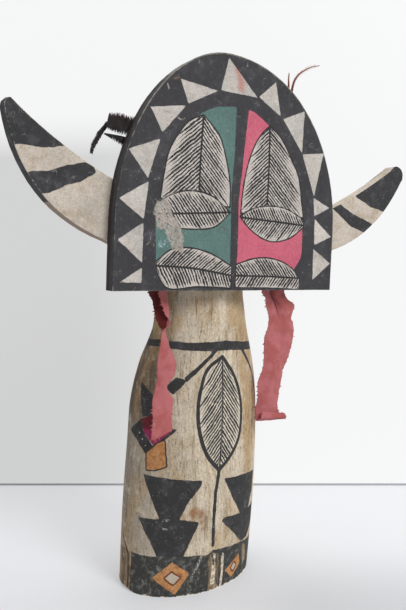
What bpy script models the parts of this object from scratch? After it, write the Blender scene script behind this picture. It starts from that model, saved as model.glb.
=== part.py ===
"""A standing wooden doll: a carved log body, an arched face board with two horns,
two torn cloth strips and a few feathers. Metres, +Z up, the front faces -Y, and the
origin is the middle of the cut underside."""
import math

import bmesh
import bpy
import numpy as np
from mathutils import Vector

# Log body: its belly, its neck and the head that stands behind the board
LOG_WIDTH = 0.1546
LOG_DEPTH = 0.112
NECK_WIDTH = 0.0986
NECK_DEPTH = 0.074
NECK_HEIGHT = 0.317
HEAD_RISE = 0.135
HEAD_EASE = 0.004
HEAD_PARING = 0.004
PARING_RUN_IN = 0.012
FRONT_LEAN = 0.002
LOG_BOW = 0.0112
LOG_SIDES = 48
LOG_RINGS = 26

# Free form of the log, as shares of the neck height: where, how full, how far over
LOG_PLACES = (0.0, 0.25, 0.5, 0.63, 0.76, 0.88, 1.0)
LOG_SWELL = (0.95, 1.0, 0.927, 0.843, 0.542, 0.117, 0.0)
LOG_SWAY = (0.0, 0.58, 0.94, 1.0, 0.965, 0.9, 0.65)

# Face board: an arch whose crown stands a little left of its middle
BOARD_WIDTH = 0.257
BOARD_HEIGHT = 0.2285
BOARD_THICKNESS = 0.0155
BOARD_SIDE = 0.060
BOARD_EASE = 0.0025
LOWER_EDGE_SKEW = 0.0022
CROWN_OFFSET = -0.012
LEFT_ROUNDNESS = 1.93
RIGHT_ROUNDNESS = 2.12
ARCH_STEPS = 22
BOARD_LEAN = math.radians(2.69)
BOARD_OFFSET = 0.0074

# Horns: sawn crescents on the back of the board. The upper edge meets the board's rim
# where its arch has turned by the seat angle, and the other heights are taken from there
HORN_THICKNESS = 0.0155
HORN_EASE = 0.0012
HORN_OVERLAP = 0.028
HORN_ROOT_SLOPE = 0.45
LEFT_HORN_SEAT = math.radians(14.8)
LEFT_HORN_ROOT = 0.058
LEFT_HORN_REACH = 0.0945
LEFT_HORN_RISE = 0.056
LEFT_HORN_BELLY = 0.0215
LEFT_HORN_HOLLOW = 0.0035
LEFT_TIP_WIDTH = 0.006
RIGHT_HORN_SEAT = math.radians(8.3)
RIGHT_HORN_ROOT = 0.045
RIGHT_HORN_REACH = 0.1205
RIGHT_HORN_RISE = 0.062
RIGHT_HORN_BELLY = 0.0175
RIGHT_HORN_HOLLOW = 0.0030
RIGHT_TIP_WIDTH = 0.013
HORN_STEPS = 14

# A horn's rounded tip, as shares of the tip's width: where its upper edge ends, its corner
TIP_SHOULDER = 0.9
TIP_CORNER = 0.2

# Cloth strips: torn bands that hang from the back of the board
STRIP_THICKNESS = 0.0022
STRIP_TUCK = 0.028
STRIP_STEPS = 22
LEFT_STRIP_WIDTH = 0.021
LEFT_STRIP_DROP = 0.156
LEFT_STRIP_PLACE = -0.072
RIGHT_STRIP_WIDTH = 0.033
RIGHT_STRIP_DROP = 0.139
RIGHT_STRIP_PLACE = 0.066

# How each strip hangs, from the board's lower edge down: share of its drop, how far it
# strays across and back, as shares of its width, and how far it turns, in degrees
LEFT_STRIP_HANG = (
    (0.00, 0.00, 0.00, 5),
    (0.10, 0.14, 0.01, 40),
    (0.20, 0.38, 0.05, 68),
    (0.30, 0.52, 0.06, 45),
    (0.45, 0.52, 0.03, 5),
    (0.65, 0.43, 0.07, -8),
    (0.85, 0.43, 0.12, 5),
    (1.00, 0.38, 0.14, 12),
)
RIGHT_STRIP_HANG = (
    (0.00, 0.00, 0.00, 0),
    (0.12, 0.27, 0.02, 12),
    (0.25, 0.33, 0.05, 0),
    (0.40, 0.30, 0.08, -6),
    (0.60, 0.18, 0.12, 4),
    (0.80, 0.06, 0.17, 0),
    (1.00, 0.09, 0.18, -10),
)

# Feathers: the quill runs from beside the head, behind the board, to the board's rim.
# The length and width are those of what shows past the rim
QUILL_WIDTH = 0.0018
QUILL_THICKNESS = 0.0014
QUILL_CLEARANCE = 0.003
FIRST_LAYER = 0.0012
LAYER_PITCH = 0.002
LOWEST_QUILL = 0.098
QUILL_SPACING = 0.010
FEATHER_STEPS = 18
FLUFFY_LENGTH = 0.020
FLUFFY_WIDTH = 0.020
CURLED_LENGTH = 0.035
CURLED_WIDTH = 0.005
LOWER_LENGTH = 0.017
LOWER_WIDTH = 0.009
RED_LENGTH = 0.047
RED_WIDTH = 0.003
WISP_LENGTH = 0.029
WISP_WIDTH = 0.0018

# Each feather: finish, side, where it passes the rim, its layer behind the board, its
# place among the quills' roots, length, width, then its form as shares of those two:
# across, up and how wide
FEATHERS = {
    "fluffy_feather": ("black_feather", -1, math.radians(32), 0, 2, FLUFFY_LENGTH, FLUFFY_WIDTH,
                       ((-0.30, -0.15, 0.60), (0.10, -0.10, 0.95), (0.60, 0.00, 1.00), (1.00, 0.15, 0.40))),
    "lower_feather": ("black_feather", -1, math.radians(27), 1, 0, LOWER_LENGTH, LOWER_WIDTH,
                      ((-0.35, -0.24, 1.00), (0.12, 0.00, 1.00), (0.59, 0.35, 0.56), (1.00, 0.53, 0.11))),
    "curled_feather": ("black_feather", -1, math.radians(31), 2, 1, CURLED_LENGTH, CURLED_WIDTH,
                       ((0.23, 0.09, 0.80), (0.57, -0.03, 1.00), (0.80, -0.29, 0.90),
                        (0.94, -0.60, 0.60), (1.00, -0.86, 0.20))),
    "red_feather": ("red_feather", 1, math.radians(54), 0, 2, RED_LENGTH, RED_WIDTH,
                    ((0.06, 0.17, 0.67), (0.13, 0.43, 1.00), (0.28, 0.64, 1.00),
                     (0.49, 0.79, 1.00), (0.72, 0.94, 0.67), (0.87, 1.00, 0.33))),
    "red_wisp": ("red_feather", 1, math.radians(55), 2, 3, WISP_LENGTH, WISP_WIDTH,
                 ((0.07, 0.21, 1.00), (0.14, 0.48, 1.00), (0.10, 1.00, 0.55))),
}

# Sections of a band of cloth and of a feather, as shares of width and thickness
CLOTH_SECTION = ((0.5, 0.5), (-0.5, 0.5), (-0.5, -0.5), (0.5, -0.5))
FEATHER_SECTION = ((0.5, 0.0), (0.0, 0.5), (-0.5, 0.0), (0.0, -0.5))

# Fits
GAP = 0.0003

# Part colours: base colour, roughness
FINISHES = {
    "body": ((0.55, 0.47, 0.35), 0.85),
    "face_board": ((0.10, 0.10, 0.11), 0.80),
    "horn": ((0.57, 0.52, 0.45), 0.80),
    "cloth": ((0.50, 0.13, 0.13), 0.95),
    "black_feather": ((0.03, 0.025, 0.02), 0.70),
    "red_feather": ((0.35, 0.07, 0.05), 0.70),
}


def clear_scene():
    for item in list(bpy.data.objects):
        bpy.data.objects.remove(item, do_unlink=True)


def collection_for(name):
    group = bpy.data.collections.new(name)
    bpy.context.scene.collection.children.link(group)
    return group


def finish_of(name):
    material = bpy.data.materials.get(name)
    if material:
        return material
    colour, roughness = FINISHES[name]
    material = bpy.data.materials.new(name)
    material.use_nodes = True
    shader = material.node_tree.nodes["Principled BSDF"]
    shader.inputs["Base Color"].default_value = (*colour, 1.0)
    shader.inputs["Roughness"].default_value = roughness
    shader.inputs["Metallic"].default_value = 0.0
    return material


def place(group, name, data, finish, seat=None):
    data.materials.append(finish_of(finish))
    part = bpy.data.objects.new(name, data)
    group.objects.link(part)
    part.parent = seat
    return part


def smooth_through(places, values, at):
    """A smooth curve through the values, which stays at the last one beyond it."""
    places = np.asarray(places, dtype=float)
    values = np.asarray(values, dtype=float)
    slopes = np.gradient(values, places)
    at = min(max(at, places[0]), places[-1])
    k = min(int(np.searchsorted(places, at, side="right")) - 1, len(places) - 2)
    span = places[k + 1] - places[k]
    t = (at - places[k]) / span
    start = (1 + 2 * t) * (1 - t) ** 2 * values[k] + t * (1 - t) ** 2 * span * slopes[k]
    end = t * t * (3 - 2 * t) * values[k + 1] - t * t * (1 - t) * span * slopes[k + 1]
    return start + end


def log_section(height):
    """Centre x, centre y, half width and half depth of the log at a height."""
    share = height / NECK_HEIGHT
    swell = smooth_through(LOG_PLACES, LOG_SWELL, share)
    half_width = (NECK_WIDTH + (LOG_WIDTH - NECK_WIDTH) * swell) / 2
    half_depth = (NECK_DEPTH + (LOG_DEPTH - NECK_DEPTH) * swell) / 2
    above = max(height - NECK_HEIGHT, 0.0)
    centre_x = LOG_BOW * smooth_through(LOG_PLACES, LOG_SWAY, share) + above * math.tan(BOARD_LEAN)
    front = -foot_depth() / 2 - FRONT_LEAN * min(share, 1.0)
    # The head stands proud of the bearing face, which is then pared flat for the board
    proud = HEAD_PARING * min(above / PARING_RUN_IN, 1.0)
    return centre_x, front + half_depth - proud, half_width, half_depth


def foot_depth():
    return NECK_DEPTH + (LOG_DEPTH - NECK_DEPTH) * LOG_SWELL[0]


def bearing_face():
    """The plane that the board's back bears on, just in front of the foot."""
    return -foot_depth() / 2 - FRONT_LEAN


def make_body(group):
    tall = NECK_HEIGHT + HEAD_RISE
    mesh = bmesh.new()
    bmesh.ops.create_cone(mesh, cap_ends=True, segments=LOG_SIDES, radius1=1, radius2=1, depth=tall)
    bmesh.ops.translate(mesh, verts=mesh.verts, vec=(0, 0, tall / 2))
    for ring in range(1, LOG_RINGS):
        cut = (0, 0, tall * ring / LOG_RINGS)
        everything = mesh.verts[:] + mesh.edges[:] + mesh.faces[:]
        bmesh.ops.bisect_plane(mesh, geom=everything, plane_co=cut, plane_no=(0, 0, 1))
    for vert in mesh.verts:
        centre_x, centre_y, half_width, half_depth = log_section(vert.co.z)
        vert.co.x = centre_x + half_width * vert.co.x
        vert.co.y = centre_y + half_depth * vert.co.y
    pare_bearing_face(mesh)
    ease_head(mesh, tall)
    data = bpy.data.meshes.new("body")
    mesh.to_mesh(data)
    mesh.free()
    data.shade_smooth()
    data.set_sharp_from_angle(angle=math.radians(35))
    place(group, "body", data, "body")


def pare_bearing_face(mesh):
    everything = mesh.verts[:] + mesh.edges[:] + mesh.faces[:]
    face = (0, bearing_face(), 0)
    cut = bmesh.ops.bisect_plane(mesh, geom=everything, plane_co=face, plane_no=(0, -1, 0), clear_outer=True)
    edges = [item for item in cut["geom_cut"] if isinstance(item, bmesh.types.BMEdge)]
    bmesh.ops.contextual_create(mesh, geom=edges)


def ease_head(mesh, tall):
    rim = [edge for edge in mesh.edges if all(vert.co.z > tall - GAP for vert in edge.verts)]
    rim = [edge for edge in rim if len({face.normal.z > 0.9 for face in edge.link_faces}) == 2]
    bmesh.ops.bevel(mesh, geom=rim, offset=HEAD_EASE, offset_type="OFFSET", segments=2,
                    affect="EDGES", profile=0.5, material=-1)


def board_seat(group):
    """The board's lower middle, on its front face, leaning over with the log."""
    seat = bpy.data.objects.new("board_seat", None)
    group.objects.link(seat)
    front = bearing_face() - GAP - BOARD_THICKNESS
    seat.location = (log_section(NECK_HEIGHT)[0] + BOARD_OFFSET, front, NECK_HEIGHT)
    seat.rotation_euler = (0, BOARD_LEAN, 0)
    return seat


def arch_point(side, turn):
    """A point of the board's arch, from the top of its straight side up to its crown."""
    roundness = LEFT_ROUNDNESS if side < 0 else RIGHT_ROUNDNESS
    across = (BOARD_WIDTH / 2 - side * CROWN_OFFSET) * math.cos(turn) ** (2 / roundness)
    up = (BOARD_HEIGHT - BOARD_SIDE) * math.sin(turn) ** (2 / roundness)
    return CROWN_OFFSET + side * across, BOARD_SIDE + up


def board_outline():
    """Corners and arch of the board, as (across, up)."""
    turns = [math.pi / 2 * step / ARCH_STEPS for step in range(ARCH_STEPS + 1)]
    left = [arch_point(-1, turn) for turn in turns]
    right = [arch_point(1, turn) for turn in reversed(turns[:-1])]
    left_corner = (-BOARD_WIDTH / 2, -LOWER_EDGE_SKEW)
    right_corner = (BOARD_WIDTH / 2, LOWER_EDGE_SKEW)
    return [left_corner] + left + right + [right_corner]


def sawn_plate(group, name, outline, thickness, ease, finish, seat, front):
    """A flat plate cut to an outline, its front face at the given depth, its arrises eased."""
    curve = bpy.data.curves.new(name, "CURVE")
    curve.dimensions = "2D"
    curve.fill_mode = "BOTH"
    curve.extrude = thickness / 2
    spline = curve.splines.new("POLY")
    spline.points.add(len(outline) - 1)
    for point, (across, up) in zip(spline.points, outline):
        point.co = (across, up, 0, 1)
    spline.use_cyclic_u = True
    plate = place(group, name, curve, finish, seat)
    plate.location = (0, front + thickness / 2, 0)
    plate.rotation_euler = (math.pi / 2, 0, 0)
    weld = plate.modifiers.new("weld", "WELD")
    weld.merge_threshold = 0.00005
    bevel = plate.modifiers.new("eased arrises", "BEVEL")
    bevel.width = ease
    bevel.segments = 2
    bevel.limit_method = "ANGLE"
    bevel.angle_limit = math.radians(50)
    return plate


def bowed_line(start, end, bow, steps):
    """Points from start to end on a shallow arc that swells to the left by bow."""
    start = Vector(start)
    end = Vector(end)
    across = (end - start).orthogonal().normalized()
    line = []
    for step in range(steps + 1):
        share = step / steps
        line.append(tuple(start.lerp(end, share) + across * bow * 4 * share * (1 - share)))
    return line


def horn_outline(side, seat, root_width, reach, rise, tip_width, belly, hollow):
    """Root, lower arc, rounded tip and upper arc of a horn, as (across, up)."""
    edge = side * BOARD_WIDTH / 2
    tip = edge + side * reach
    upper_height = arch_point(side, seat)[1]
    lower_height = upper_height - root_width
    tip_height = upper_height + rise
    lower = bowed_line((edge, lower_height), (tip, tip_height - tip_width), -side * belly, HORN_STEPS)
    shoulder = (tip - side * tip_width * TIP_SHOULDER, tip_height)
    upper = bowed_line(shoulder, (edge, upper_height), side * hollow, HORN_STEPS)
    point = (tip - side * tip_width * TIP_CORNER, tip_height - tip_width * TIP_CORNER)
    root = edge - side * HORN_OVERLAP
    drop = HORN_OVERLAP * HORN_ROOT_SLOPE
    return [(root, lower_height - drop)] + lower + [point] + upper + [(root, upper_height - drop)]


def make_horns(group, seat):
    front = BOARD_THICKNESS + GAP
    left = horn_outline(-1, LEFT_HORN_SEAT, LEFT_HORN_ROOT, LEFT_HORN_REACH, LEFT_HORN_RISE,
                        LEFT_TIP_WIDTH, LEFT_HORN_BELLY, LEFT_HORN_HOLLOW)
    right = horn_outline(1, RIGHT_HORN_SEAT, RIGHT_HORN_ROOT, RIGHT_HORN_REACH, RIGHT_HORN_RISE,
                         RIGHT_TIP_WIDTH, RIGHT_HORN_BELLY, RIGHT_HORN_HOLLOW)
    for name, outline in (("left_horn", left), ("right_horn", right)):
        sawn_plate(group, name, outline, HORN_THICKNESS, HORN_EASE, "horn", seat, front)


def band(group, name, path, widths, turns, thickness, section, finish, seat):
    """A closed band that follows a path of (across, depth, up) points and turns on itself."""
    mesh = bmesh.new()
    rings = []
    for index, centre in enumerate(path):
        ahead = Vector(path[min(index + 1, len(path) - 1)])
        behind = Vector(path[max(index - 1, 0)])
        along = (ahead - behind).normalized()
        flat = Vector((0, 1, 0)).cross(along).normalized()
        depth = along.cross(flat).normalized()
        side = flat * math.cos(turns[index]) + depth * math.sin(turns[index])
        thick = depth * math.cos(turns[index]) - flat * math.sin(turns[index])
        ring = []
        for wide_share, thick_share in section:
            corner = side * wide_share * widths[index] + thick * thick_share * thickness
            ring.append(mesh.verts.new(Vector(centre) + corner))
        rings.append(ring)
    for lower, upper in zip(rings, rings[1:]):
        for a in range(len(lower)):
            b = (a + 1) % len(lower)
            mesh.faces.new((lower[a], lower[b], upper[b], upper[a]))
    mesh.faces.new(rings[0][::-1])
    mesh.faces.new(rings[-1])
    bmesh.ops.recalc_face_normals(mesh, faces=mesh.faces)
    data = bpy.data.meshes.new(name)
    mesh.to_mesh(data)
    mesh.free()
    return place(group, name, data, finish, seat)


def cloth_strip(group, name, place_across, width, drop, hang, seat):
    """A strip flat on the board's back for its tuck, then hanging below the lower edge."""
    back = BOARD_THICKNESS + GAP + STRIP_THICKNESS / 2
    shares = [-STRIP_TUCK / drop] + [row[0] for row in hang]
    strays = [0.0] + [row[1] * width for row in hang]
    depths = [0.0] + [row[2] * width for row in hang]
    turns = [0.0] + [math.radians(row[3]) for row in hang]
    path = []
    twists = []
    for step in range(STRIP_STEPS + 1):
        share = shares[0] + (1 - shares[0]) * step / STRIP_STEPS
        twist = smooth_through(shares, turns, share) if share > 0 else 0.0
        across = place_across + smooth_through(shares, strays, share)
        depth = back + smooth_through(shares, depths, share) + abs(math.sin(twist)) * width / 2
        path.append((across, depth, -drop * share))
        twists.append(twist)
    widths = [width] * len(path)
    band(group, name, path, widths, twists, STRIP_THICKNESS, CLOTH_SECTION, "cloth", seat)


def head_flank(side, depth):
    """Where the head's side stands, at a depth behind the board's back."""
    half_depth = NECK_DEPTH / 2
    inward = (half_depth - HEAD_PARING - depth) / half_depth
    return -BOARD_OFFSET + side * NECK_WIDTH / 2 * math.sqrt(1 - inward ** 2)


def make_feather(group, name, seat):
    finish, side, rim_turn, layer, order, length, width, form = FEATHERS[name]
    rim_across, rim_up = arch_point(side, rim_turn)
    depth = FIRST_LAYER + layer * LAYER_PITCH
    behind = BOARD_THICKNESS + GAP + QUILL_THICKNESS / 2 + depth
    root_across = head_flank(side, depth + QUILL_THICKNESS) + side * QUILL_CLEARANCE
    root_up = LOWEST_QUILL + order * QUILL_SPACING
    points = [(root_across, root_up, QUILL_WIDTH)]
    points.append(((root_across + rim_across) / 2, (root_up + rim_up) / 2, QUILL_WIDTH))
    for across, up, wide in form:
        points.append((rim_across + side * across * length, rim_up + up * length, wide * width))
    places = range(len(points))
    path = []
    widths = []
    for step in range(FEATHER_STEPS + 1):
        at = places[-1] * step / FEATHER_STEPS
        across, up, wide = (smooth_through(places, column, at) for column in zip(*points))
        path.append((across, behind, up))
        widths.append(max(wide, QUILL_THICKNESS / 2))
    turns = [0.0] * len(path)
    band(group, name, path, widths, turns, QUILL_THICKNESS, FEATHER_SECTION, finish, seat)


clear_scene()
doll = collection_for("wooden_doll")
make_body(doll)
face_seat = board_seat(doll)
sawn_plate(doll, "face_board", board_outline(), BOARD_THICKNESS, BOARD_EASE, "face_board", face_seat, 0.0)
make_horns(doll, face_seat)
cloth_strip(doll, "left_cloth_strip", LEFT_STRIP_PLACE, LEFT_STRIP_WIDTH, LEFT_STRIP_DROP,
            LEFT_STRIP_HANG, face_seat)
cloth_strip(doll, "right_cloth_strip", RIGHT_STRIP_PLACE, RIGHT_STRIP_WIDTH, RIGHT_STRIP_DROP,
            RIGHT_STRIP_HANG, face_seat)
for feather in FEATHERS:
    make_feather(doll, feather, face_seat)
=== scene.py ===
import math
import random

import bmesh
import bpy
import numpy as np
from mathutils import Matrix, Vector, noise
from mathutils.kdtree import KDTree


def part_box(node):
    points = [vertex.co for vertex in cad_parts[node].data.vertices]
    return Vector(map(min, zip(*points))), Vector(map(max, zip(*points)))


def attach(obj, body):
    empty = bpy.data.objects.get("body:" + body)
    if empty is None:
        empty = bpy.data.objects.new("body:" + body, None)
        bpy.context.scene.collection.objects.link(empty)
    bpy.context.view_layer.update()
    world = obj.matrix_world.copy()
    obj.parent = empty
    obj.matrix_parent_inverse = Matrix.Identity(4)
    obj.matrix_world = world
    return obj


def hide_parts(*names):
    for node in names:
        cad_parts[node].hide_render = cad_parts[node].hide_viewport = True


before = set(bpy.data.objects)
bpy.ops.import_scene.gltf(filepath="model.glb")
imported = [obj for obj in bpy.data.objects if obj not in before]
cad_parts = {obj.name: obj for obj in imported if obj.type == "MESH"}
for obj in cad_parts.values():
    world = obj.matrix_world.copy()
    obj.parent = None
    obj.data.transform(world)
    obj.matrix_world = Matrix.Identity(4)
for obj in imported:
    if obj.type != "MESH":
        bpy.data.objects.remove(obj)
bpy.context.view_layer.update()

# Camera
# It stands to the left of the doll, at the height of its neck, and looks slightly down.
CAMERA_PLACE = (-0.3377, -0.60405, 0.3606)
CAMERA_DIP = math.radians(5.211)
CAMERA_HEADING = math.radians(-30.934)
CAMERA_LENS = 37.77
CAMERA_SENSOR = 36.0

camera_data = bpy.data.cameras.new("camera")
camera_data.lens = CAMERA_LENS
camera_data.sensor_width = CAMERA_SENSOR
camera = bpy.data.objects.new("camera", camera_data)
camera.location = CAMERA_PLACE
camera.rotation_euler = (math.pi / 2 - CAMERA_DIP, 0, CAMERA_HEADING)
bpy.context.scene.collection.objects.link(camera)
bpy.context.scene.camera = camera

# Face board
# A sawn and sanded plank arch on the front of the head, leaning over a little with the log.
# It is painted matt charcoal, with a ring of pale triangles round a field of two colours,
# parted by a bar, and six barred feathers are drawn in the field by brush.
MM = 0.001
BOARD_LEAN = math.radians(2.69)
BOARD_SKEW = 2.2 * MM
BOARD_CELL = 1.2 * MM
BOARD_DEPTH = 15.5
BOARD_UNEVEN = 0.25 * MM
BOARD_SWELL = 40 * MM
MERGE = 0.00002
SMOOTH = math.radians(40)
# How worn the front arris is at these heights, and between which heights the rim's paint goes pale: worn,
# and partly a painted highlight where it faces up
ARRIS_WEAR = ((0, 10, 130, 190), (0.78, 0.66, 0.76, 1.0))
ARRIS_REACH = 3 * MM
CROWN_WEAR_AND_HIGHLIGHT = (172, 206)

# Painted shapes, in mm across from the board's middle and up from its lower edge
PALE_TRIANGLES = (
    ((-122, 6), (-100, 20), (-100, 6)),
    ((-125, 44), (-100, 61), (-100, 24)),
    ((-125, 81), (-96, 99), (-100, 64)),
    ((-117, 125), (-86, 138), (-97, 101)),
    ((-97, 165), (-60, 172), (-84, 144)),
    ((-67, 195), (-26, 191), (-58, 174)),
    ((-15, 224), (20, 192), (-23, 192)),
    ((42, 211), (50, 178), (22, 193)),
    ((81, 188), (80, 145), (53, 176)),
    ((110, 148), (99, 102), (81, 144)),
    ((122, 91), (101, 81), (99, 100)),
    ((126, 60), (103, 50), (102, 78)),
    ((127, 31), (103, 13), (102, 46)),
)
FIELD_EDGE = (
    (-76, 3), (-84, 18), (-87, 45), (-86, 76), (-80, 101), (-72, 134), (-56, 156), (-33, 173), (-4, 179),
    (14, 178), (37, 166), (64, 138), (78, 107), (84, 81), (86, 52), (85, 36), (78, 25), (62, 3),
)
BAR_LEFT = ((-3, -5), (-4, 26), (-5, 60), (-6, 95), (-4, 130), (-4, 185))
BAR_RIGHT = ((5, -5), (4, 28), (4, 60), (3, 90), (7, 135), (11, 185))
BARE_PATCH = ((-90, 70), (-87, 80), (-80, 84), (-74, 81), (-70, 70), (-63, 64), (-58.5, 53), (-57, 37),
              (-69, 36), (-74, 46), (-79, 56), (-87, 57))
BLUE_FLECKS = ((-85, 48), (-78, 48), (-74, 44), (-73, 39), (-79, 38), (-85, 34))
RED_STAIN = ((-9, 218), (-3, 216), (4, 203), (3, 194), (-3, 196), (-4, 207))
RED_DAB = ((-73, 194), (-69, 196))
SCUFFS = (((-96, 41), (-93, 44), (-92, 49), (-94, 53)), ((-89, 40), (-88, 46)), ((-81, 189), (-79, 184)),
          ((-69, 159.5), (-65, 158), (-61, 160)))
SCUFF_HALF = 0.5
DAB_HALF = 1.3

# A painted feather: its two edges and its rachis, the spacing of its barbs, and how far the
# barbs of each half are swept along the rachis
BOARD_FEATHERS = (
    (((-84, 84), (-81.5, 103), (-76, 129), (-66, 147), (-54, 160), (-41, 166)),
     ((-7, 82), (-8, 104), (-14, 129), (-23, 150), (-30, 157), (-41, 166)),
     ((-43, 84), (-42, 143), (-41, 166)), 3.9, (0.9, 1.0)),
    (((6, 77), (8, 103), (13, 128), (21, 148), (28, 158), (37, 167)),
     ((86, 78), (82, 97), (76, 122), (67, 136), (51, 157), (37, 167)),
     ((38, 80), (38, 143), (37, 167)), 3.8, (0.9, 0.9)),
    (((-86, 80), (-74, 88), (-53, 94), (-31, 92), (-6, 77)),
     ((-86, 66), (-73, 60), (-46, 58), (-23, 62), (-6, 77)),
     ((-86, 70), (-72, 71), (-6, 77)), 3.4, (0.75, -0.65)),
    (((5, 74), (17, 81), (42, 87), (61, 86), (87, 76)),
     ((5, 74), (21, 60), (44, 51), (70, 56), (87, 68)),
     ((5, 73), (36, 72), (87, 70)), 3.4, (0.7, 0.75)),
    (((-2, 2), (-20, 3), (-43, 3), (-76, 3), (-85, 16)),
     ((-2, 24), (-28, 36), (-48, 40), (-70, 38), (-86, 26)),
     ((-2, 15), (-50, 21), (-86, 22)), 3.4, (0.6, 1.0)),
    (((85, 2), (50, 3), (20, 3), (3, 3)),
     ((85, 14), (73, 25), (51, 33), (26, 33), (3, 26)),
     ((85, 14), (46, 15), (3, 15)), 3.6, (-0.7, -0.9)),
)
FAR_AWAY = 50.0


def board_place():
    """The frame in which the board was drawn: its lower middle, on the front face."""
    turn = Matrix.Rotation(BOARD_LEAN, 3, "Y")
    corners = [turn.transposed() @ vert.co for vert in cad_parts["face_board"].data.vertices]
    across = [corner.x for corner in corners]
    lower_middle = Vector(((min(across) + max(across)) / 2, min(corner.y for corner in corners),
                           min(corner.z for corner in corners) + BOARD_SKEW))
    return Matrix.Translation(turn @ lower_middle) @ turn.to_4x4()


def plate_copy(node, cell, back):
    """A copy of a flat CAD plate in the board's frame, cut into small cells but for its back."""
    mesh = bmesh.new()
    mesh.from_mesh(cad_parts[node].data)
    bmesh.ops.remove_doubles(mesh, verts=mesh.verts, dist=MERGE)
    bmesh.ops.transform(mesh, matrix=BOARD_FRAME.inverted(), verts=mesh.verts)
    bmesh.ops.dissolve_limit(mesh, angle_limit=math.radians(1), verts=mesh.verts, edges=mesh.edges)
    shown = [face for face in mesh.faces if face.calc_center_median().y < back]
    # The keys of a dict keep their order, so every run cuts and moves the same corners alike
    edges = dict.fromkeys(edge for face in shown for edge in face.edges)
    verts = dict.fromkeys(vert for face in shown for vert in face.verts)
    geometry = [*verts, *edges, *shown]
    for axis in (0, 2, 1):
        places = [vert.co[axis] for vert in verts]
        start = min(places)
        cuts = int((max(places) - start) / cell)
        normal = Vector((axis == 0, axis == 1, axis == 2))
        for cut in range(1, cuts + 1):
            at = normal * (start + cell * cut)
            geometry = bmesh.ops.bisect_plane(mesh, geom=geometry, dist=MERGE / 10, plane_co=at,
                                              plane_no=normal)["geom"]
    return mesh


def roughen(mesh, amount, size, keep=lambda place: 1.0):
    """Moves each vertex in or out a little, as a hand-worked surface is uneven."""
    mesh.normal_update()
    for vert in mesh.verts:
        swell = noise.noise(vert.co / size) + 0.4 * noise.noise(vert.co * 3.1 / size)
        vert.co += vert.normal * amount * swell * keep(vert.co)


def finished(name, mesh, place, node, material, smooth=SMOOTH):
    """The bmesh as a smooth-shaded object at the origin that stands for a CAD node."""
    bmesh.ops.transform(mesh, matrix=place, verts=mesh.verts)
    data = bpy.data.meshes.new(name)
    mesh.to_mesh(data)
    mesh.free()
    data.shade_smooth()
    data.set_sharp_from_angle(angle=smooth)
    data.materials.append(material)
    piece = bpy.data.objects.new(name, data)
    bpy.context.scene.collection.objects.link(piece)
    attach(piece, "root")
    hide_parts(node)
    return piece


def write_layers(mesh, values):
    """Stores each named row of numbers on the bmesh's vertices."""
    for name, numbers in values.items():
        layer = mesh.verts.layers.float.new(name)
        for vert, number in zip(mesh.verts, numbers.tolist()):
            vert[layer] = number


def smooth_line(points, steps=6):
    """A smooth open line through a few points."""
    points = np.array(points, dtype=float)
    runs = np.concatenate([[0.0], np.cumsum(np.linalg.norm(np.diff(points, axis=0), axis=1))])
    slopes = np.gradient(points, runs, axis=0)
    line = []
    for k in range(len(points) - 1):
        span = runs[k + 1] - runs[k]
        for t in np.arange(steps) / steps:
            start = (1 + 2 * t) * (1 - t) ** 2 * points[k] + t * (1 - t) ** 2 * span * slopes[k]
            end = t * t * (3 - 2 * t) * points[k + 1] - t * t * (1 - t) * span * slopes[k + 1]
            line.append(start + end)
    return line + [points[-1]]


def outside(spots, outline):
    """How far each spot is outside a closed outline, less than zero within it."""
    nearest = np.full(len(spots), np.inf)
    within = np.zeros(len(spots), dtype=bool)
    corners = np.array(outline, dtype=float)
    for a, b in zip(corners, np.roll(corners, -1, axis=0)):
        run = b - a
        share = np.clip((spots - a) @ run / max(run @ run, 1e-9), 0, 1)
        nearest = np.minimum(nearest, np.hypot(*(spots - a - share[:, None] * run).T))
        if a[1] != b[1]:
            level = (a[1] > spots[:, 1]) != (b[1] > spots[:, 1])
            within ^= level & (spots[:, 0] < a[0] + (spots[:, 1] - a[1]) / run[1] * run[0])
    return np.where(within, -nearest, nearest)


def beside(spots, line):
    """How far along a line each spot lies, and how far to the left of it."""
    best = np.full(len(spots), np.inf)
    along = np.zeros(len(spots))
    aside = np.zeros(len(spots))
    gone = 0.0
    for a, b in zip(line, line[1:]):
        run = np.array(b, dtype=float) - a
        length = np.hypot(*run)
        shift = spots - a
        share = shift @ run / length ** 2
        capped = np.clip(share, 0, 1)
        gap = np.hypot(*(shift - capped[:, None] * run).T)
        nearer = gap < best
        best = np.where(nearer, gap, best)
        along = np.where(nearer, gone + capped * length, along)
        side = (run[0] * shift[:, 1] - run[1] * shift[:, 0]) / length
        aside = np.where(nearer, np.where(side < 0, -gap, gap), aside)
        gone += length
    return along, aside


def drawn_feathers(spots, feathers):
    """Edge, barb, rachis and reach of the topmost drawn feather at each spot."""
    edge = np.full(len(spots), FAR_AWAY)
    barb = np.zeros(len(spots))
    rachis = np.full(len(spots), FAR_AWAY)
    reach = np.ones(len(spots))
    for number, (left, right, stem, spacing, sweep) in enumerate(feathers):
        new_edge = outside(spots, smooth_line(left) + smooth_line(right)[::-1])
        along, aside = beside(spots, smooth_line(stem))
        on = new_edge < 0
        phase = (along + np.where(aside > 0, *sweep) * abs(aside)) / spacing
        barb = np.where(on, phase + np.where(aside > 0, 41.5, 11) * (number + 1), barb)
        rachis = np.where(on, abs(aside), rachis)
        reach = np.where(on, abs(aside) / (abs(aside) - new_edge + 0.01), reach)
        under = np.where(edge < 0, np.maximum(edge, -new_edge), np.minimum(edge, new_edge))
        edge = np.where(on, new_edge, under)
    return {"feather_edge": edge, "feather_barb": barb, "feather_rachis": rachis, "feather_reach": reach}


def outside_all(spots, outlines):
    """How far each spot is outside the nearest of several outlines."""
    return np.min([outside(spots, outline) for outline in outlines], axis=0)


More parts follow.
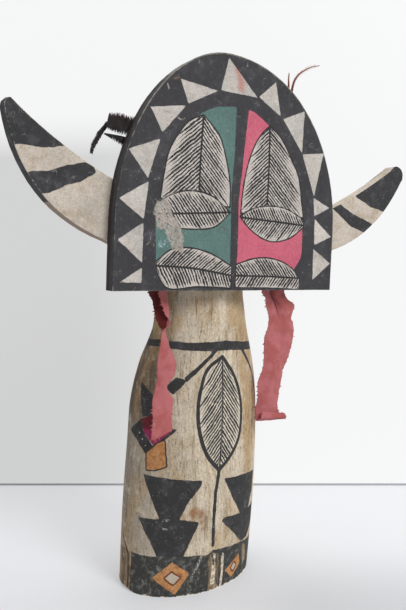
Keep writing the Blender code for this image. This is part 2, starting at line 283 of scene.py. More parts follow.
def outside_strokes(spots, lines, half):
    """How far each spot is outside the nearest of several brush strokes, by half their width."""
    return np.min([abs(beside(spots, line)[1]) for line in lines], axis=0) - half


def draw_board(spots):
    """What is painted on the board's front, each as the distance outside its edge."""
    field = outside(spots, smooth_line(FIELD_EDGE))
    bar_left, bar_right = (spots[:, 0] - np.interp(spots[:, 1], *zip(*(point[::-1] for point in edge)))
                           for edge in (BAR_LEFT, BAR_RIGHT))
    return {"pale": outside_all(spots, PALE_TRIANGLES),
            "teal": np.maximum(field, bar_left),
            "pink": np.maximum(field, -bar_right),
            "bare": outside(spots, BARE_PATCH),
            "blue": outside(spots, BLUE_FLECKS),
            "stain": outside(spots, RED_STAIN),
            "dab": outside_strokes(spots, (RED_DAB,), DAB_HALF),
            "scuffs": outside_strokes(spots, SCUFFS, SCUFF_HALF),
            **drawn_feathers(spots, BOARD_FEATHERS)}


def colour(*parts):
    """A colour as the eye sees it, 0 to 255, as the linear one that a shader takes."""
    return tuple(((max(part / 255, 0.04) + 0.055) / 1.055) ** 2.4 for part in parts) + (1.0,)


def add(tree, kind, inputs=None, **settings):
    """A new shader node with its settings, and its inputs from values or from sockets."""
    node = tree.nodes.new("ShaderNode" + kind)
    for name, setting in settings.items():
        setattr(node, name, setting)
    for name, value in (inputs or {}).items():
        if isinstance(value, bpy.types.NodeSocket):
            tree.links.new(value, node.inputs[name])
        else:
            node.inputs[name].default_value = value
    return node


def sums(tree, operation, *values):
    """The result of one Math node."""
    return add(tree, "Math", dict(enumerate(values)), operation=operation).outputs[0]


def step_of(tree, value, low, high, start=0.0, end=1.0):
    """A smooth step in a value, from one end of a range to the other."""
    limits = {"Value": value, "From Min": low, "From Max": high, "To Min": start, "To Max": end}
    return add(tree, "MapRange", limits, interpolation_type="SMOOTHSTEP").outputs["Result"]


def mixed(tree, share, first, second):
    """The first colour with a share of the second over it."""
    return add(tree, "Mix", {0: share, 6: first, 7: second}, data_type="RGBA").outputs[2]


def object_place(tree):
    """Where on the piece the shader is, in metres."""
    return add(tree, "TexCoord").outputs["Object"]


def height_of(tree):
    """How high on the piece the shader is, in metres."""
    return add(tree, "SeparateXYZ", {0: object_place(tree)}).outputs[2]


def cloudy(tree, place, size, detail=3.0, roughness=0.55):
    """Noise from 0 to 1, whose features are about as large as the size."""
    inputs = {"Vector": place, "Scale": 1 / size, "Detail": detail, "Roughness": roughness}
    return add(tree, "TexNoise", inputs).outputs["Fac"]


def stored_value(tree, name):
    """The number that the mesh stores under that name."""
    return add(tree, "Attribute", attribute_name=name).outputs["Fac"]


def new_group(name, inputs, outputs):
    """An empty shader group, with the sockets of its two ends."""
    tree = bpy.data.node_groups.new(name, "ShaderNodeTree")
    for label, value in inputs.items():
        kind = "NodeSocketColor" if isinstance(value, tuple) else "NodeSocketFloat"
        tree.interface.new_socket(label, in_out="INPUT", socket_type=kind).default_value = value
    for label, kind in outputs.items():
        tree.interface.new_socket(label, in_out="OUTPUT", socket_type="NodeSocket" + kind)
    return tree, tree.nodes.new("NodeGroupInput").outputs, tree.nodes.new("NodeGroupOutput").inputs


MID_GREY = (0.5, 0.5, 0.5, 1.0)


def brushed_shape_group():
    """Where a brushed shape covers, from the distance outside its edge in mm."""
    given_values = {"Distance": 0.0, "Grow": 0.0, "Wobble": 0.5}
    tree, given, result = new_group("brushed_shape", given_values, {"Mask": "Float"})
    place = object_place(tree)
    waver = sums(tree, "SUBTRACT", cloudy(tree, place, 7 * MM, 3.0), 0.5)
    swing = sums(tree, "MULTIPLY", given["Wobble"], 3.0)
    edge = sums(tree, "MULTIPLY_ADD", waver, swing, given["Distance"])
    edge = sums(tree, "SUBTRACT", edge, given["Grow"])
    tree.links.new(step_of(tree, edge, 0.35, -0.35), result["Mask"])
    return tree


def aged_paint_group():
    """Matt paint gone mottled and grainy, chipped in places to the coat or wood under it."""
    given_values = {"Color": MID_GREY, "Under": MID_GREY, "Chips": 0.2, "Grain": 0.5, "Scratches": 0.5}
    tree, given, result = new_group("aged_paint", given_values, {"Color": "Color", "Height": "Float"})
    place = object_place(tree)
    patches = cloudy(tree, place, 30 * MM, 4.0)
    mottles = cloudy(tree, place, 4 * MM, 5.0, 0.75)
    grains = cloudy(tree, place, 1.7 * MM, 2.0, 0.7)
    tone = sums(tree, "MULTIPLY_ADD", sums(tree, "SUBTRACT", patches, 0.5), 0.5, 1.0)
    tone = sums(tree, "MULTIPLY_ADD", sums(tree, "SUBTRACT", mottles, 0.5), given["Grain"], tone)
    coarse = sums(tree, "MULTIPLY", given["Grain"], 1.4)
    tone = sums(tree, "MULTIPLY_ADD", sums(tree, "SUBTRACT", grains, 0.5), coarse, tone)
    toned = add(tree, "VectorMath", {0: given["Color"], "Scale": tone}, operation="SCALE").outputs[0]
    # A scratch is a short stretch of a level line of one noise, where another noise is high
    level = sums(tree, "ABSOLUTE", sums(tree, "SUBTRACT", cloudy(tree, place, 13 * MM, 2.0), 0.5))
    short = step_of(tree, cloudy(tree, place, 9 * MM, 2.0), 0.54, 0.6)
    deep = sums(tree, "MULTIPLY", short, given["Scratches"])
    scratched = sums(tree, "MULTIPLY", step_of(tree, level, 0.007, 0.002), deep)
    toned = mixed(tree, scratched, toned, given["Under"])
    flakes = cloudy(tree, place, 6 * MM, 6.0, 0.75)
    flecks = cloudy(tree, place, 2.4 * MM, 2.0, 0.5)
    limit = sums(tree, "MULTIPLY_ADD", given["Chips"], -0.4, 0.8)
    chipped = step_of(tree, sums(tree, "SUBTRACT", flakes, limit), 0.0, 0.03)
    flecked = step_of(tree, sums(tree, "SUBTRACT", flecks, limit), 0.06, 0.1)
    bare = sums(tree, "MAXIMUM", chipped, flecked)
    tree.links.new(mixed(tree, bare, toned, given["Under"]), result["Color"])
    height = sums(tree, "MULTIPLY_ADD", bare, -1.0, sums(tree, "MULTIPLY", grains, 0.6))
    tree.links.new(height, result["Height"])
    return tree


def barbs_group():
    """Brush strokes of the barbs in a drawn feather, which end near its edge."""
    given_values = {"Barb": 0.0, "Reach": 0.0, "Weight": 0.45}
    tree, given, result = new_group("drawn_barbs", given_values, {"Mask": "Float"})
    place = object_place(tree)
    waver = sums(tree, "SUBTRACT", cloudy(tree, place, 13 * MM, 2.0), 0.5)
    count = sums(tree, "MULTIPLY_ADD", waver, 0.8, given["Barb"])
    number = sums(tree, "FLOOR", count)
    chance = add(tree, "TexWhiteNoise", {"W": number}, noise_dimensions="1D").outputs["Value"]
    middle = sums(tree, "ABSOLUTE", sums(tree, "SUBTRACT", sums(tree, "SUBTRACT", count, number), 0.5))
    ending = sums(tree, "MULTIPLY_ADD", chance, 0.22, 0.86)
    thinning = step_of(tree, sums(tree, "SUBTRACT", given["Reach"], ending), -0.3, 0.05, 1.0, 0.0)
    press = sums(tree, "MULTIPLY_ADD", chance, 0.6, 0.7)
    dry = step_of(tree, cloudy(tree, place, 3 * MM, 4.0), 0.32, 0.52, 0.5, 1.05)
    half = sums(tree, "MULTIPLY", given["Weight"], press)
    half = sums(tree, "MULTIPLY", half, sums(tree, "MULTIPLY", thinning, dry))
    half = sums(tree, "MULTIPLY", half, 0.5)
    tree.links.new(step_of(tree, sums(tree, "SUBTRACT", middle, half), 0.04, -0.04), result["Mask"])
    return tree


BRUSHED = brushed_shape_group()
AGED = aged_paint_group()
BARBS = barbs_group()

CHARCOAL = colour(64, 63, 65)
OUTLINE_INK = colour(50, 48, 49)
CHALK = colour(200, 192, 184)
CHALK_GREY = colour(184, 180, 174)
CHALK_STAIN = colour(158, 144, 126)
TEAL = colour(94, 123, 117)
PINK = colour(204, 102, 122)
BARE_GROUND = colour(168, 158, 148)
BARE_DARK = colour(112, 102, 92)
FLECK_BLUE = colour(152, 176, 184)
STAIN_RED = colour(186, 124, 112)
DAB_BROWN = colour(104, 84, 78)
RIM_WEAR_AND_HIGHLIGHT = colour(138, 134, 124)
SIDE_BROWN = colour(50, 38, 34)
DUST = colour(150, 148, 144)
SLATE = colour(94, 94, 99)


def shape_mask(tree, name, grow=0.0, wobble=0.5):
    """Where the shape whose edge is stored under that name is painted."""
    inputs = {"Distance": stored_value(tree, name), "Grow": grow, "Wobble": wobble}
    return add(tree, "Group", inputs, node_tree=BRUSHED).outputs["Mask"]


def coat(tree, colour_in, under, chips, grain, scratches=0.5):
    """An aged coat of one colour, as its colour and its height."""
    inputs = {"Color": colour_in, "Under": under, "Chips": chips, "Grain": grain, "Scratches": scratches}
    return add(tree, "Group", inputs, node_tree=AGED).outputs


def clouded(tree, ground, *clouds, detail=5.0):
    """A colour under soft clouds: each one's colour, size in mm, noise from none to full, and most."""
    for other, size, low, high, most in clouds:
        level = cloudy(tree, object_place(tree), size * MM, detail, 0.65)
        ground = mixed(tree, step_of(tree, level, low, high, 0.0, most), ground, other)
    return ground


def painted(tree, ground, *marks):
    """Lays painted shapes on a ground in turn: name of the stored edge, grow, wobble and paint."""
    for name, grow, wobble, paint in marks:
        ground = mixed(tree, shape_mask(tree, name, grow, wobble), ground, paint)
    return ground


def feather_drawing(tree, ground, weight, line_half, fill, ink):
    """Lays drawn feathers on a ground colour: their fill, barbs, rachis and outline."""
    strokes = {"Barb": stored_value(tree, "feather_barb"), "Reach": stored_value(tree, "feather_reach"),
               "Weight": weight}
    barbs = add(tree, "Group", strokes, node_tree=BARBS).outputs["Mask"]
    inside = clouded(tree, fill, (CHALK_STAIN, 9, 0.5, 0.72, 0.5))
    inside = mixed(tree, barbs, inside, clouded(tree, ink, (SLATE, 4, 0.5, 0.72, 0.5)))
    rachis = {"Distance": stored_value(tree, "feather_rachis"), "Grow": 1.0, "Wobble": 0.25}
    inside = mixed(tree, add(tree, "Group", rachis, node_tree=BRUSHED).outputs["Mask"], inside, ink)
    laid = mixed(tree, shape_mask(tree, "feather_edge", 0.0, 0.5), ground, inside)
    edge = sums(tree, "ABSOLUTE", stored_value(tree, "feather_edge"))
    outline = {"Distance": edge, "Grow": line_half, "Wobble": 0.35}
    return mixed(tree, add(tree, "Group", outline, node_tree=BRUSHED).outputs["Mask"], laid, ink)


def new_material(name, roughness):
    material = bpy.data.materials.new(name)
    material.use_nodes = True
    shader = material.node_tree.nodes["Principled BSDF"]
    shader.inputs["Roughness"].default_value = roughness
    shader.inputs["Specular IOR Level"].default_value = 0.25
    return material, material.node_tree, shader


def bumped(tree, shader, height, depth):
    """Gives the shader a bump of that height, as deep as the depth in metres."""
    normal = add(tree, "Bump", {"Height": height, "Distance": depth, "Strength": 1.0}).outputs["Normal"]
    tree.links.new(normal, shader.inputs["Normal"])


def worn_arris(tree, scheme, bared):
    """Rubs the paint off an arris in a broken line, down to the colour under it."""
    broken = cloudy(tree, object_place(tree), 5 * MM, 5.0, 0.7)
    rub = sums(tree, "MULTIPLY_ADD", broken, 0.9, stored_value(tree, "arris"))
    return mixed(tree, step_of(tree, rub, 1.05, 1.3, 0.0, 0.9), scheme, bared)


def flaked_patch(tree, scheme):
    """Where the teal has flaked off to the ground coat, and the blue flecks beside it."""
    place = object_place(tree)
    crumbs = step_of(tree, cloudy(tree, place, 3 * MM, 5.0, 0.75), 0.34, 0.52)
    waver = sums(tree, "SUBTRACT", cloudy(tree, place, 6 * MM, 5.0, 0.7), 0.5)
    ragged = sums(tree, "MULTIPLY_ADD", waver, 14.0, stored_value(tree, "bare"))
    bared = sums(tree, "MULTIPLY", step_of(tree, ragged, 1.0, -1.0), crumbs)
    ground = clouded(tree, BARE_GROUND, (CHALK_GREY, 7, 0.45, 0.6, 0.4), (BARE_DARK, 2.2, 0.52, 0.7, 0.8))
    scheme = mixed(tree, bared, scheme, ground)
    flecks = step_of(tree, cloudy(tree, place, 3 * MM, 4.0, 0.7), 0.54, 0.6)
    flecks = sums(tree, "MULTIPLY", step_of(tree, stored_value(tree, "blue"), 0.0, -2.0), flecks)
    return mixed(tree, flecks, scheme, FLECK_BLUE)


def board_material():
    material, tree, shader = new_material("board_paint", 0.82)
    scheme = clouded(tree, CHARCOAL, (SLATE, 18, 0.48, 0.72, 0.5), (DUST, 7, 0.62, 0.85, 0.4))
    chalk = clouded(tree, CHALK, (CHALK_GREY, 26, 0.42, 0.62, 0.8), (CHALK_STAIN, 9, 0.5, 0.72, 0.6))
    chalk = clouded(tree, chalk, (CHARCOAL, 1.8, 0.6, 0.74, 0.6), detail=3.0)
    teal = clouded(tree, TEAL, (SLATE, 12, 0.5, 0.8, 0.5))
    pink = clouded(tree, PINK, (STAIN_RED, 9, 0.5, 0.8, 0.6))
    scheme = painted(tree, scheme, ("pale", 0.0, 0.5, chalk), ("teal", 0.0, 0.5, teal),
                     ("pink", 0.0, 0.5, pink))
    stain = step_of(tree, stored_value(tree, "stain"), 3.0, -2.5, 0.0, 0.75)
    stain = sums(tree, "MULTIPLY", stain, shape_mask(tree, "pale"))
    scheme = mixed(tree, stain, scheme, STAIN_RED)
    scheme = feather_drawing(tree, scheme, 0.64, 0.75, CHALK, OUTLINE_INK)
    scheme = flaked_patch(tree, scheme)
    scheme = painted(tree, scheme, ("scuffs", 0.0, 0.6, BARE_GROUND), ("dab", 0.0, 0.9, DAB_BROWN))
    side = step_of(tree, stored_value(tree, "depth"), 6.5, 9.0, 0.0, 0.8)
    scheme = mixed(tree, side, scheme, SIDE_BROWN)
    # The arris and the upper rim go pale: worn paint, and on the upper rim partly a painted highlight
    scheme = worn_arris(tree, scheme, RIM_WEAR_AND_HIGHLIGHT)
    aged = coat(tree, scheme, DUST, 0.3, 0.55, 0.6)
    tree.links.new(aged["Color"], shader.inputs["Base Color"])
    bumped(tree, shader, aged["Height"], 0.12 * MM)
    return material


def arris_wear(mesh, front, reach, most):
    """How worn each vertex is: most() for its height on the plate's front arris, and less away from it."""
    sheer = front + 0.1 * MM
    arris = [vert.co for vert in mesh.verts
             if vert.co.y < sheer and any(edge.other_vert(vert).co.y > sheer for edge in vert.link_edges)]
    nearest = KDTree(len(arris))
    for number, place in enumerate(arris):
        nearest.insert(place, number)
    nearest.balance()
    gaps = [nearest.find(vert.co)[2] / reach for vert in mesh.verts]
    return np.array([max(0.0, 1 - gap) * most(vert.co.z / MM) for gap, vert in zip(gaps, mesh.verts)])


BOARD_FRAME = board_place()
board = plate_copy("face_board", BOARD_CELL, (BOARD_DEPTH - 0.3) * MM)
places = np.array([vert.co for vert in board.verts]) / MM
depth = places[:, 1]
drawing = draw_board(places[:, [0, 2]])
write_layers(board, {name: np.where(depth < 1.5, edge, FAR_AWAY) for name, edge in drawing.items()})
wear = arris_wear(board, 0, ARRIS_REACH, lambda height: float(np.interp(height, *ARRIS_WEAR)))
# The side of the upper rim goes pale: worn paint, and partly a painted highlight where it faces the light
# from above
crown = np.interp(places[:, 2], CROWN_WEAR_AND_HIGHLIGHT, (0, 1)) * (depth > 0.3) * (depth < BOARD_DEPTH - 0.2)
write_layers(board, {"arris": np.maximum(wear, crown), "depth": depth})
roughen(board, BOARD_UNEVEN, BOARD_SWELL)
finished("painted_face_board", board, BOARD_FRAME, "face_board", board_material())

# Log
# The body is one piece of cottonwood root, rounded and tapered by knife to a neck, with the
# head pared flat in front where the board bears on it. It is painted cream over the bare
# wood, and the marks are brushed on in black, orange and red.
LOG_SIDES = 280
LOG_RINGS = 226
RING_CORNERS = 40
LOG_UNEVEN = 0.45 * MM
LOG_SMOOTH = math.radians(50)
GRAIN_STRETCH = 0.14
FIT = 0.3 * MM
FOOT_CHIP = 3.2 * MM
# Between which places round the log, in mm, its foot is chipped
CHIP_PLACES = (-170, -130, -94, -88)

# Marks on the log, in mm round from the middle of its front and up from the foot
NECK_BAND_TOP = ((-212, 262), (-120, 265), (-87, 266.5), (-37, 263.8), (9, 264.5), (40, 261), (90, 257),
                 (212, 262))
NECK_BAND_FOOT = ((-212, 255), (-115, 258), (-85, 259.5), (-42, 256), (-15, 255), (17, 254), (68, 249.5),
                  (212, 255))
BASE_BAND_TOP = ((-92, 42.4), (-62, 42.3), (-34, 42.3), (-17, 40.7), (-7, 40), (0, 43.2), (9, 42.5),
                 (41, 39.5), (60, 36.3), (112, 38))
BASE_BAND_SPAN = (-92, 112)
BLACK_SHAPES = (
    ((-8, 256), (-45.5, 228), (-41, 224), (-2, 256)),
    ((38, 252), (46, 251), (64, 226), (70, 195), (73, 150), (70, 150), (66.5, 195), (60, 226)),
    ((-64, 219.7), (-54, 229), (-41, 226.5), (-43.5, 222), (-54.5, 211.5), (-58.5, 214)),
    ((-98.5, 222.5), (-78.5, 211.5), (-70, 200), (-72, 190), (-87, 186.5), (-93, 203)),
    ((-105, 172), (-89, 184.5), (-86, 172.5), (-71.5, 155.5), (-72.5, 152.5), (-82, 149), (-94, 161),
     (-107, 168.5)),
    ((-64, 161.5), (-50.5, 172.5), (-48.5, 175.5), (-51, 176), (-65, 164.5)),
    ((-82.5, 127.8), (-76.5, 127), (-52.5, 124.5), (-18, 120.5), (-19.5, 113.8), (-30.5, 101.5),
     (-40.5, 81), (-60.5, 81), (-72.5, 105.5)),
    ((-85, 81.3), (-60, 82), (-40, 81.5), (-19, 77), (-22, 69), (-27.5, 57), (-34, 41), (-61, 41),
     (-69.5, 57.5)),
    ((8, 118.2), (38, 115.6), (66, 112.3), (64, 90), (52, 71), (36.5, 72.5), (21, 95)),
    ((7, 73), (12.5, 75.5), (36.5, 73), (52, 73), (70, 74), (72, 53), (56, 40), (42, 39.5), (21, 60)),
)
ORANGE_QUAD = ((-79.5, 150), (-67.5, 161), (-60.7, 163.5), (-57.5, 137.5), (-69, 133), (-78.5, 132.5))
DIAMOND_LARGE = ((-65.5, 19.5), (-45, 37), (-26, 23.5), (-40, 2.2))
DIAMOND_SMALL = ((18, 16), (40, 27), (44.5, 15.5), (29.5, 4.5))
LARGE_HEART = ((-51.5, 20), (-45, 25.7), (-36, 20), (-42.7, 13.2))
SMEARS = (((-13, 41), (-18, 30), (-24, 17)), ((-58, 72.5), (-53, 71.5)), ((-57, 80.5), (-50, 81.2)))
SMEAR_HALF = 1.1
SMALL_HEART = ((27.5, 15.5), (32.5, 19.5), (36, 16), (31, 11.5))
RED_PATCH = ((-89, 184), (-72, 192), (-60, 186), (-52, 175), (-64, 162.5), (-71, 156.5), (-86, 172.5))
BAND_DOTS = ((-90.8, 169.3), (-86.3, 163.2), (-81.8, 157.1))
DOT_SIZE = 1.1
BARE_SHAPES = (
    ((-212, 40), (-150, 44), (-94, 42), (-92, 20), (-93, -9), (-212, -9)),
    ((112, 40), (150, 42), (212, 40), (212, -9), (112, -9)),
    ((-3, 41), (6.5, 38), (9, 20), (10, -9), (-4.5, -9), (-3, 12), (-6, 33)),
    ((46, 35), (54, 33), (58, 14), (50, 10)),
)
CREAM_LINES = (
    ((-1.5, 40), (3.5, 38), (5, 20), (4.5, 6), (-1.5, 6), (0, 20)),
    ((11, 38), (15, 36), (15.5, 14), (14, -9), (12, -9), (12.5, 18)),
)
STEM_LINE = ((1.5, 131), (-0.3, 118), (-1.8, 106), (-2.2, 92), (-2.2, 75), (-1, 48))
STEM_HALF = 1.95
STEM_TOP = 134
LOG_FEATHER = (
    ((1, 128.5), (-13, 144.5), (-22, 165.5), (-26, 190), (-24.5, 213), (-16.5, 236.5), (3.7, 248)),
    ((1, 128.5), (15, 140.8), (27, 157.7), (31, 182), (29, 204), (19.5, 229), (3.7, 248)),
    ((1, 128.5), (2.5, 160), (3.2, 202), (3.7, 248)), 5.0, (1.3, 1.3))
BRUISES = ((-25, 87, 7.0), (-18, 85, 6.0), (-14.5, 77, 4.5), (-13.5, 70, 3.5), (-29, 78, 3.5))
CRACK_LINE = ((-112, 58), (-104, 49), (-97, 40), (-95, 20), (-96, -8))
CRACK_HALF = 1.1


def ring_rows():
    """Height, middle across, half width, half depth and middle depth of the log's rings."""
    rings = {}
    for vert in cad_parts["body"].data.vertices:
        rings.setdefault(round(vert.co.z, 4), []).append(vert.co)
    rows = []
    for height, corners in sorted(rings.items()):
        if len(corners) < RING_CORNERS:
            continue
        across = [corner.x for corner in corners]
        deep = [corner.y for corner in corners]
        half_width = (max(across) - min(across)) / 2
        # The head is pared flat in front, so it keeps the neck's share of depth to width
        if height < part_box("face_board")[0].z:
            fullness = (max(deep) - min(deep)) / (2 * half_width)
        half_depth = half_width * fullness
        middle = (max(across) + min(across)) / 2
        rows.append((height, middle, half_width, half_depth, max(deep) - half_depth))
    return np.array(rows)


def smooth_value(places, values, at):
    """A smooth curve through values at rising places."""
    slopes = np.gradient(values, places)
    k = min(max(int(np.searchsorted(places, at, side="right")) - 1, 0), len(places) - 2)
    span = places[k + 1] - places[k]
    t = min(max((at - places[k]) / span, 0.0), 1.0)
    start = (1 + 2 * t) * (1 - t) ** 2 * values[k] + t * (1 - t) ** 2 * span * slopes[k]
    return start + t * t * (3 - 2 * t) * values[k + 1] - t * t * (1 - t) * span * slopes[k + 1]


def round_the_log(turns):
    """Distance round the belly of the log, in mm, for turns from the middle of its front."""
    rows = LOG_ROWS
    belly = rows[np.argmax(rows[:, 2])]
    fine = np.linspace(-math.pi, math.pi, 721)
    steps = np.hypot(belly[2] * np.cos(fine), belly[3] * np.sin(fine)) * (fine[1] - fine[0])
    length = np.cumsum(steps) / MM
    return np.interp(turns, fine, length - np.interp(0, fine, length))


def draw_log(spots):
    """What is painted on the log, each as the distance outside its edge."""
    round_at, height = spots.T
    band_top, band_foot, base_top = (np.interp(round_at, *zip(*line))
                                     for line in (NECK_BAND_TOP, NECK_BAND_FOOT, BASE_BAND_TOP))
    band = np.maximum(height - band_top, band_foot - height)
    stem = np.where(height < STEM_TOP, outside_strokes(spots, (STEM_LINE,), STEM_HALF), FAR_AWAY)
    base_ends = np.maximum(BASE_BAND_SPAN[0] - round_at, round_at - BASE_BAND_SPAN[1])
    dots = [np.hypot(*(spots - dot).T) for dot in BAND_DOTS]
    bruises = [np.hypot(*(spots - bruise[:2]).T) - bruise[2] for bruise in BRUISES]
    return {"crack": outside_strokes(spots, (CRACK_LINE,), CRACK_HALF),
            "smears": outside_strokes(spots, SMEARS, SMEAR_HALF),
            "cream_line": outside_all(spots, CREAM_LINES),
            "black": np.min([band, stem, outside_all(spots, BLACK_SHAPES)], axis=0),
            "quad": outside(spots, ORANGE_QUAD),
            "diamonds": outside_all(spots, (DIAMOND_LARGE, DIAMOND_SMALL)),
            "hearts": outside_all(spots, (LARGE_HEART, SMALL_HEART)),
            "dots": np.min(dots, axis=0) - DOT_SIZE,
            "red": outside(spots, RED_PATCH),
            "base": np.maximum(height - base_top, base_ends),
            "bare": outside_all(spots, BARE_SHAPES),
            "bruise": np.min(bruises, axis=0),
            **drawn_feathers(spots, (LOG_FEATHER,))}


def rise_of(edge):
    """How much higher one end of an edge is than the other."""
    return abs(edge.verts[0].co.z - edge.verts[1].co.z)


def shaped_log():
    """The log's skin from a cylinder, with its drawing stored before it is shaped."""
    rows = LOG_ROWS
    foot, top = rows[0][0], rows[-1][0]
    mesh = bmesh.new()
    bmesh.ops.create_cone(mesh, cap_ends=True, segments=LOG_SIDES, radius1=1, radius2=1, depth=top - foot)
    upright = [edge for edge in mesh.edges if rise_of(edge) > MERGE]
    bmesh.ops.subdivide_edges(mesh, edges=upright, cuts=LOG_RINGS, use_grid_fill=True)
    bmesh.ops.translate(mesh, verts=mesh.verts, vec=(0, 0, (top + foot) / 2))
    turns = np.array([math.atan2(vert.co.x, -vert.co.y) for vert in mesh.verts])
    heights = np.array([vert.co.z for vert in mesh.verts])
    round_at = round_the_log(turns)
    write_layers(mesh, {"round_log": round_at, **draw_log(np.column_stack([round_at, heights / MM]))})
    sections = {}
    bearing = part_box("face_board")[1].y + FIT
    board_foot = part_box("face_board")[0].z
    for vert, at in zip(mesh.verts, round_at):
        height = vert.co.z
        if height not in sections:
            sections[height] = [smooth_value(rows[:, 0], column, height) for column in rows.T[1:]]
        middle, half_width, half_depth, middle_depth = sections[height]
        vert.co.x = middle + half_width * vert.co.x
        vert.co.y = middle_depth + half_depth * vert.co.y
        if height > board_foot:
            vert.co.y = max(vert.co.y, bearing)
        elif height < FOOT_CHIP * 2:
            chip = FOOT_CHIP * float(np.interp(at, CHIP_PLACES, (0, 1, 1, 0)))
            vert.co.z += chip * (1 - height / (FOOT_CHIP * 2))
    return mesh


def carve_log(mesh):
    """Knife facets and grain in the wood's surface."""
    mesh.normal_update()
    for vert in mesh.verts:
        if abs(vert.normal.z) > 0.9:
            continue
        long_way = Vector((vert.co.x, vert.co.y, vert.co.z * GRAIN_STRETCH))
        facets = noise.noise(long_way / 0.022)
        fibres = noise.noise(long_way / 0.0035)
        vert.co += vert.normal * LOG_UNEVEN * (facets + 0.22 * fibres)


def drawn_out(tree, place, share):
    """The place with its height shortened to a share, so that noise read there runs up the wood."""
    return add(tree, "Mapping", {"Vector": place, "Scale": (1.0, 1.0, share)}).outputs["Vector"]


def timber_group():
    """Grain that runs up the wood: a colour between two, and the height of its fibres."""
    given_values = {"Light": MID_GREY, "Dark": MID_GREY, "Contrast": 0.5}
    tree, given, result = new_group("timber", given_values, {"Color": "Color", "Height": "Float"})
    upright = drawn_out(tree, object_place(tree), GRAIN_STRETCH)
    streaks = cloudy(tree, upright, 8 * MM, 5.0, 0.65)
    fibres = cloudy(tree, upright, 1.2 * MM, 3.0, 0.6)
    both = sums(tree, "MULTIPLY_ADD", sums(tree, "SUBTRACT", fibres, 0.5), 0.6, streaks)
    share = sums(tree, "MULTIPLY", step_of(tree, both, 0.35, 0.72), given["Contrast"])
    tree.links.new(mixed(tree, share, given["Light"], given["Dark"]), result["Color"])
    tree.links.new(fibres, result["Height"])
    return tree


TIMBER = timber_group()
CREAM = colour(222, 208, 186)
CREAM_SHADE = colour(176, 156, 126)
GREY_TONE_AND_SHADE = colour(176, 166, 152)
SHADED = colour(134, 123, 110)
YELLOWED = colour(180, 150, 108)
PAINTED_SHADOW_BROWN = colour(74, 58, 47)
DIRT_AND_SHADE = colour(96, 78, 58)
BARE_WOOD = colour(152, 134, 110)
BARE_WOOD_DARK = colour(82, 64, 46)
BODY_BLACK = colour(58, 57, 57)
BASE_BLACK = colour(62, 63, 60)
FEATHER_WHITE = colour(214, 204, 186)
ORANGE = colour(190, 136, 86)
ORANGE_DARK = colour(140, 82, 50)
RED_BROWN = colour(112, 60, 42)
DARK_RED = colour(106, 40, 46)
MAGENTA = colour(150, 52, 90)
HEART_WHITE = colour(186, 174, 156)
BRUISE_BROWN = colour(152, 108, 70)
MAGENTA_TOP = 0.177
STREAK_STRETCH = 0.3


def timber(tree, light, dark, contrast):
    """Bare or thinly painted wood, as its colour and its height."""
    inputs = {"Light": light, "Dark": dark, "Contrast": contrast}
    return add(tree, "Group", inputs, node_tree=TIMBER).outputs


def log_ground(tree, upright):
    """The cream coat: stained yellow, streaked down the grain and full of specks, with painted shade down
    its left side and just under the board.
    """
    cream = timber(tree, CREAM, CREAM_SHADE, 0.8)
    turn = stored_value(tree, "round_log")
    height = height_of(tree)
    # Painted shade turns the left side greyer, then darker; what differs from side to side fades out before
    # the two sides meet at the back
    front = step_of(tree, sums(tree, "ABSOLUTE", turn), 195.0, 130.0)
    ground = cream["Color"]
    for shade, start, end, most in ((GREY_TONE_AND_SHADE, -20.0, -80.0, 0.7), (SHADED, -60.0, -125.0, 0.8)):
        share = sums(tree, "MULTIPLY", step_of(tree, turn, start, end, 0.0, most), front)
        ground = mixed(tree, share, ground, shade)
    # Painted shadow: dark brown high on the left side, beside the strip and under the board
    upper_left_shadow = step_of(tree, turn, -58.0, -88.0, 0.0, 0.82)
    upper_left_shadow = sums(tree, "MULTIPLY", upper_left_shadow, step_of(tree, height, 0.155, 0.2))
    ground = mixed(tree, sums(tree, "MULTIPLY", upper_left_shadow, front), ground, PAINTED_SHADOW_BROWN)
    right = sums(tree, "MULTIPLY", step_of(tree, turn, 0.0, 70.0, -0.04, 0.14), front)
    right = sums(tree, "MULTIPLY", right, step_of(tree, height, 0.11, 0.19, 0.3, 1.0))
    warm = sums(tree, "ADD", cloudy(tree, upright, 30 * MM, 5.0, 0.65), right)
    warm = sums(tree, "ADD", warm, step_of(tree, height, 0.255, 0.29, 0.0, 0.12))
    ground = mixed(tree, step_of(tree, warm, 0.46, 0.68, 0.0, 0.8), ground, YELLOWED)
    long_way = drawn_out(tree, upright, STREAK_STRETCH)
    streak = step_of(tree, cloudy(tree, long_way, 4.5 * MM, 4.0, 0.65), 0.54, 0.74, 0.0, 0.75)
    ground = mixed(tree, streak, ground, DIRT_AND_SHADE)
    specks = step_of(tree, cloudy(tree, upright, 2.4 * MM, 4.0, 0.75), 0.53, 0.7, 0.0, 0.8)
    spread = step_of(tree, cloudy(tree, upright, 26 * MM, 4.0, 0.6), 0.38, 0.62, 0.3, 1.0)
    ground = mixed(tree, sums(tree, "MULTIPLY", specks, spread), ground, DIRT_AND_SHADE)
    ground = clouded(tree, ground, (DIRT_AND_SHADE, 4, 0.5, 0.74, 0.6), (FEATHER_WHITE, 14, 0.52, 0.7, 0.5))
    # Darker just under the board: painted shade, with some dirt
    shade_under_board = step_of(tree, height, 0.285, 0.316, 0.0, 0.12)
    return mixed(tree, shade_under_board, ground, DIRT_AND_SHADE), cream["Height"]


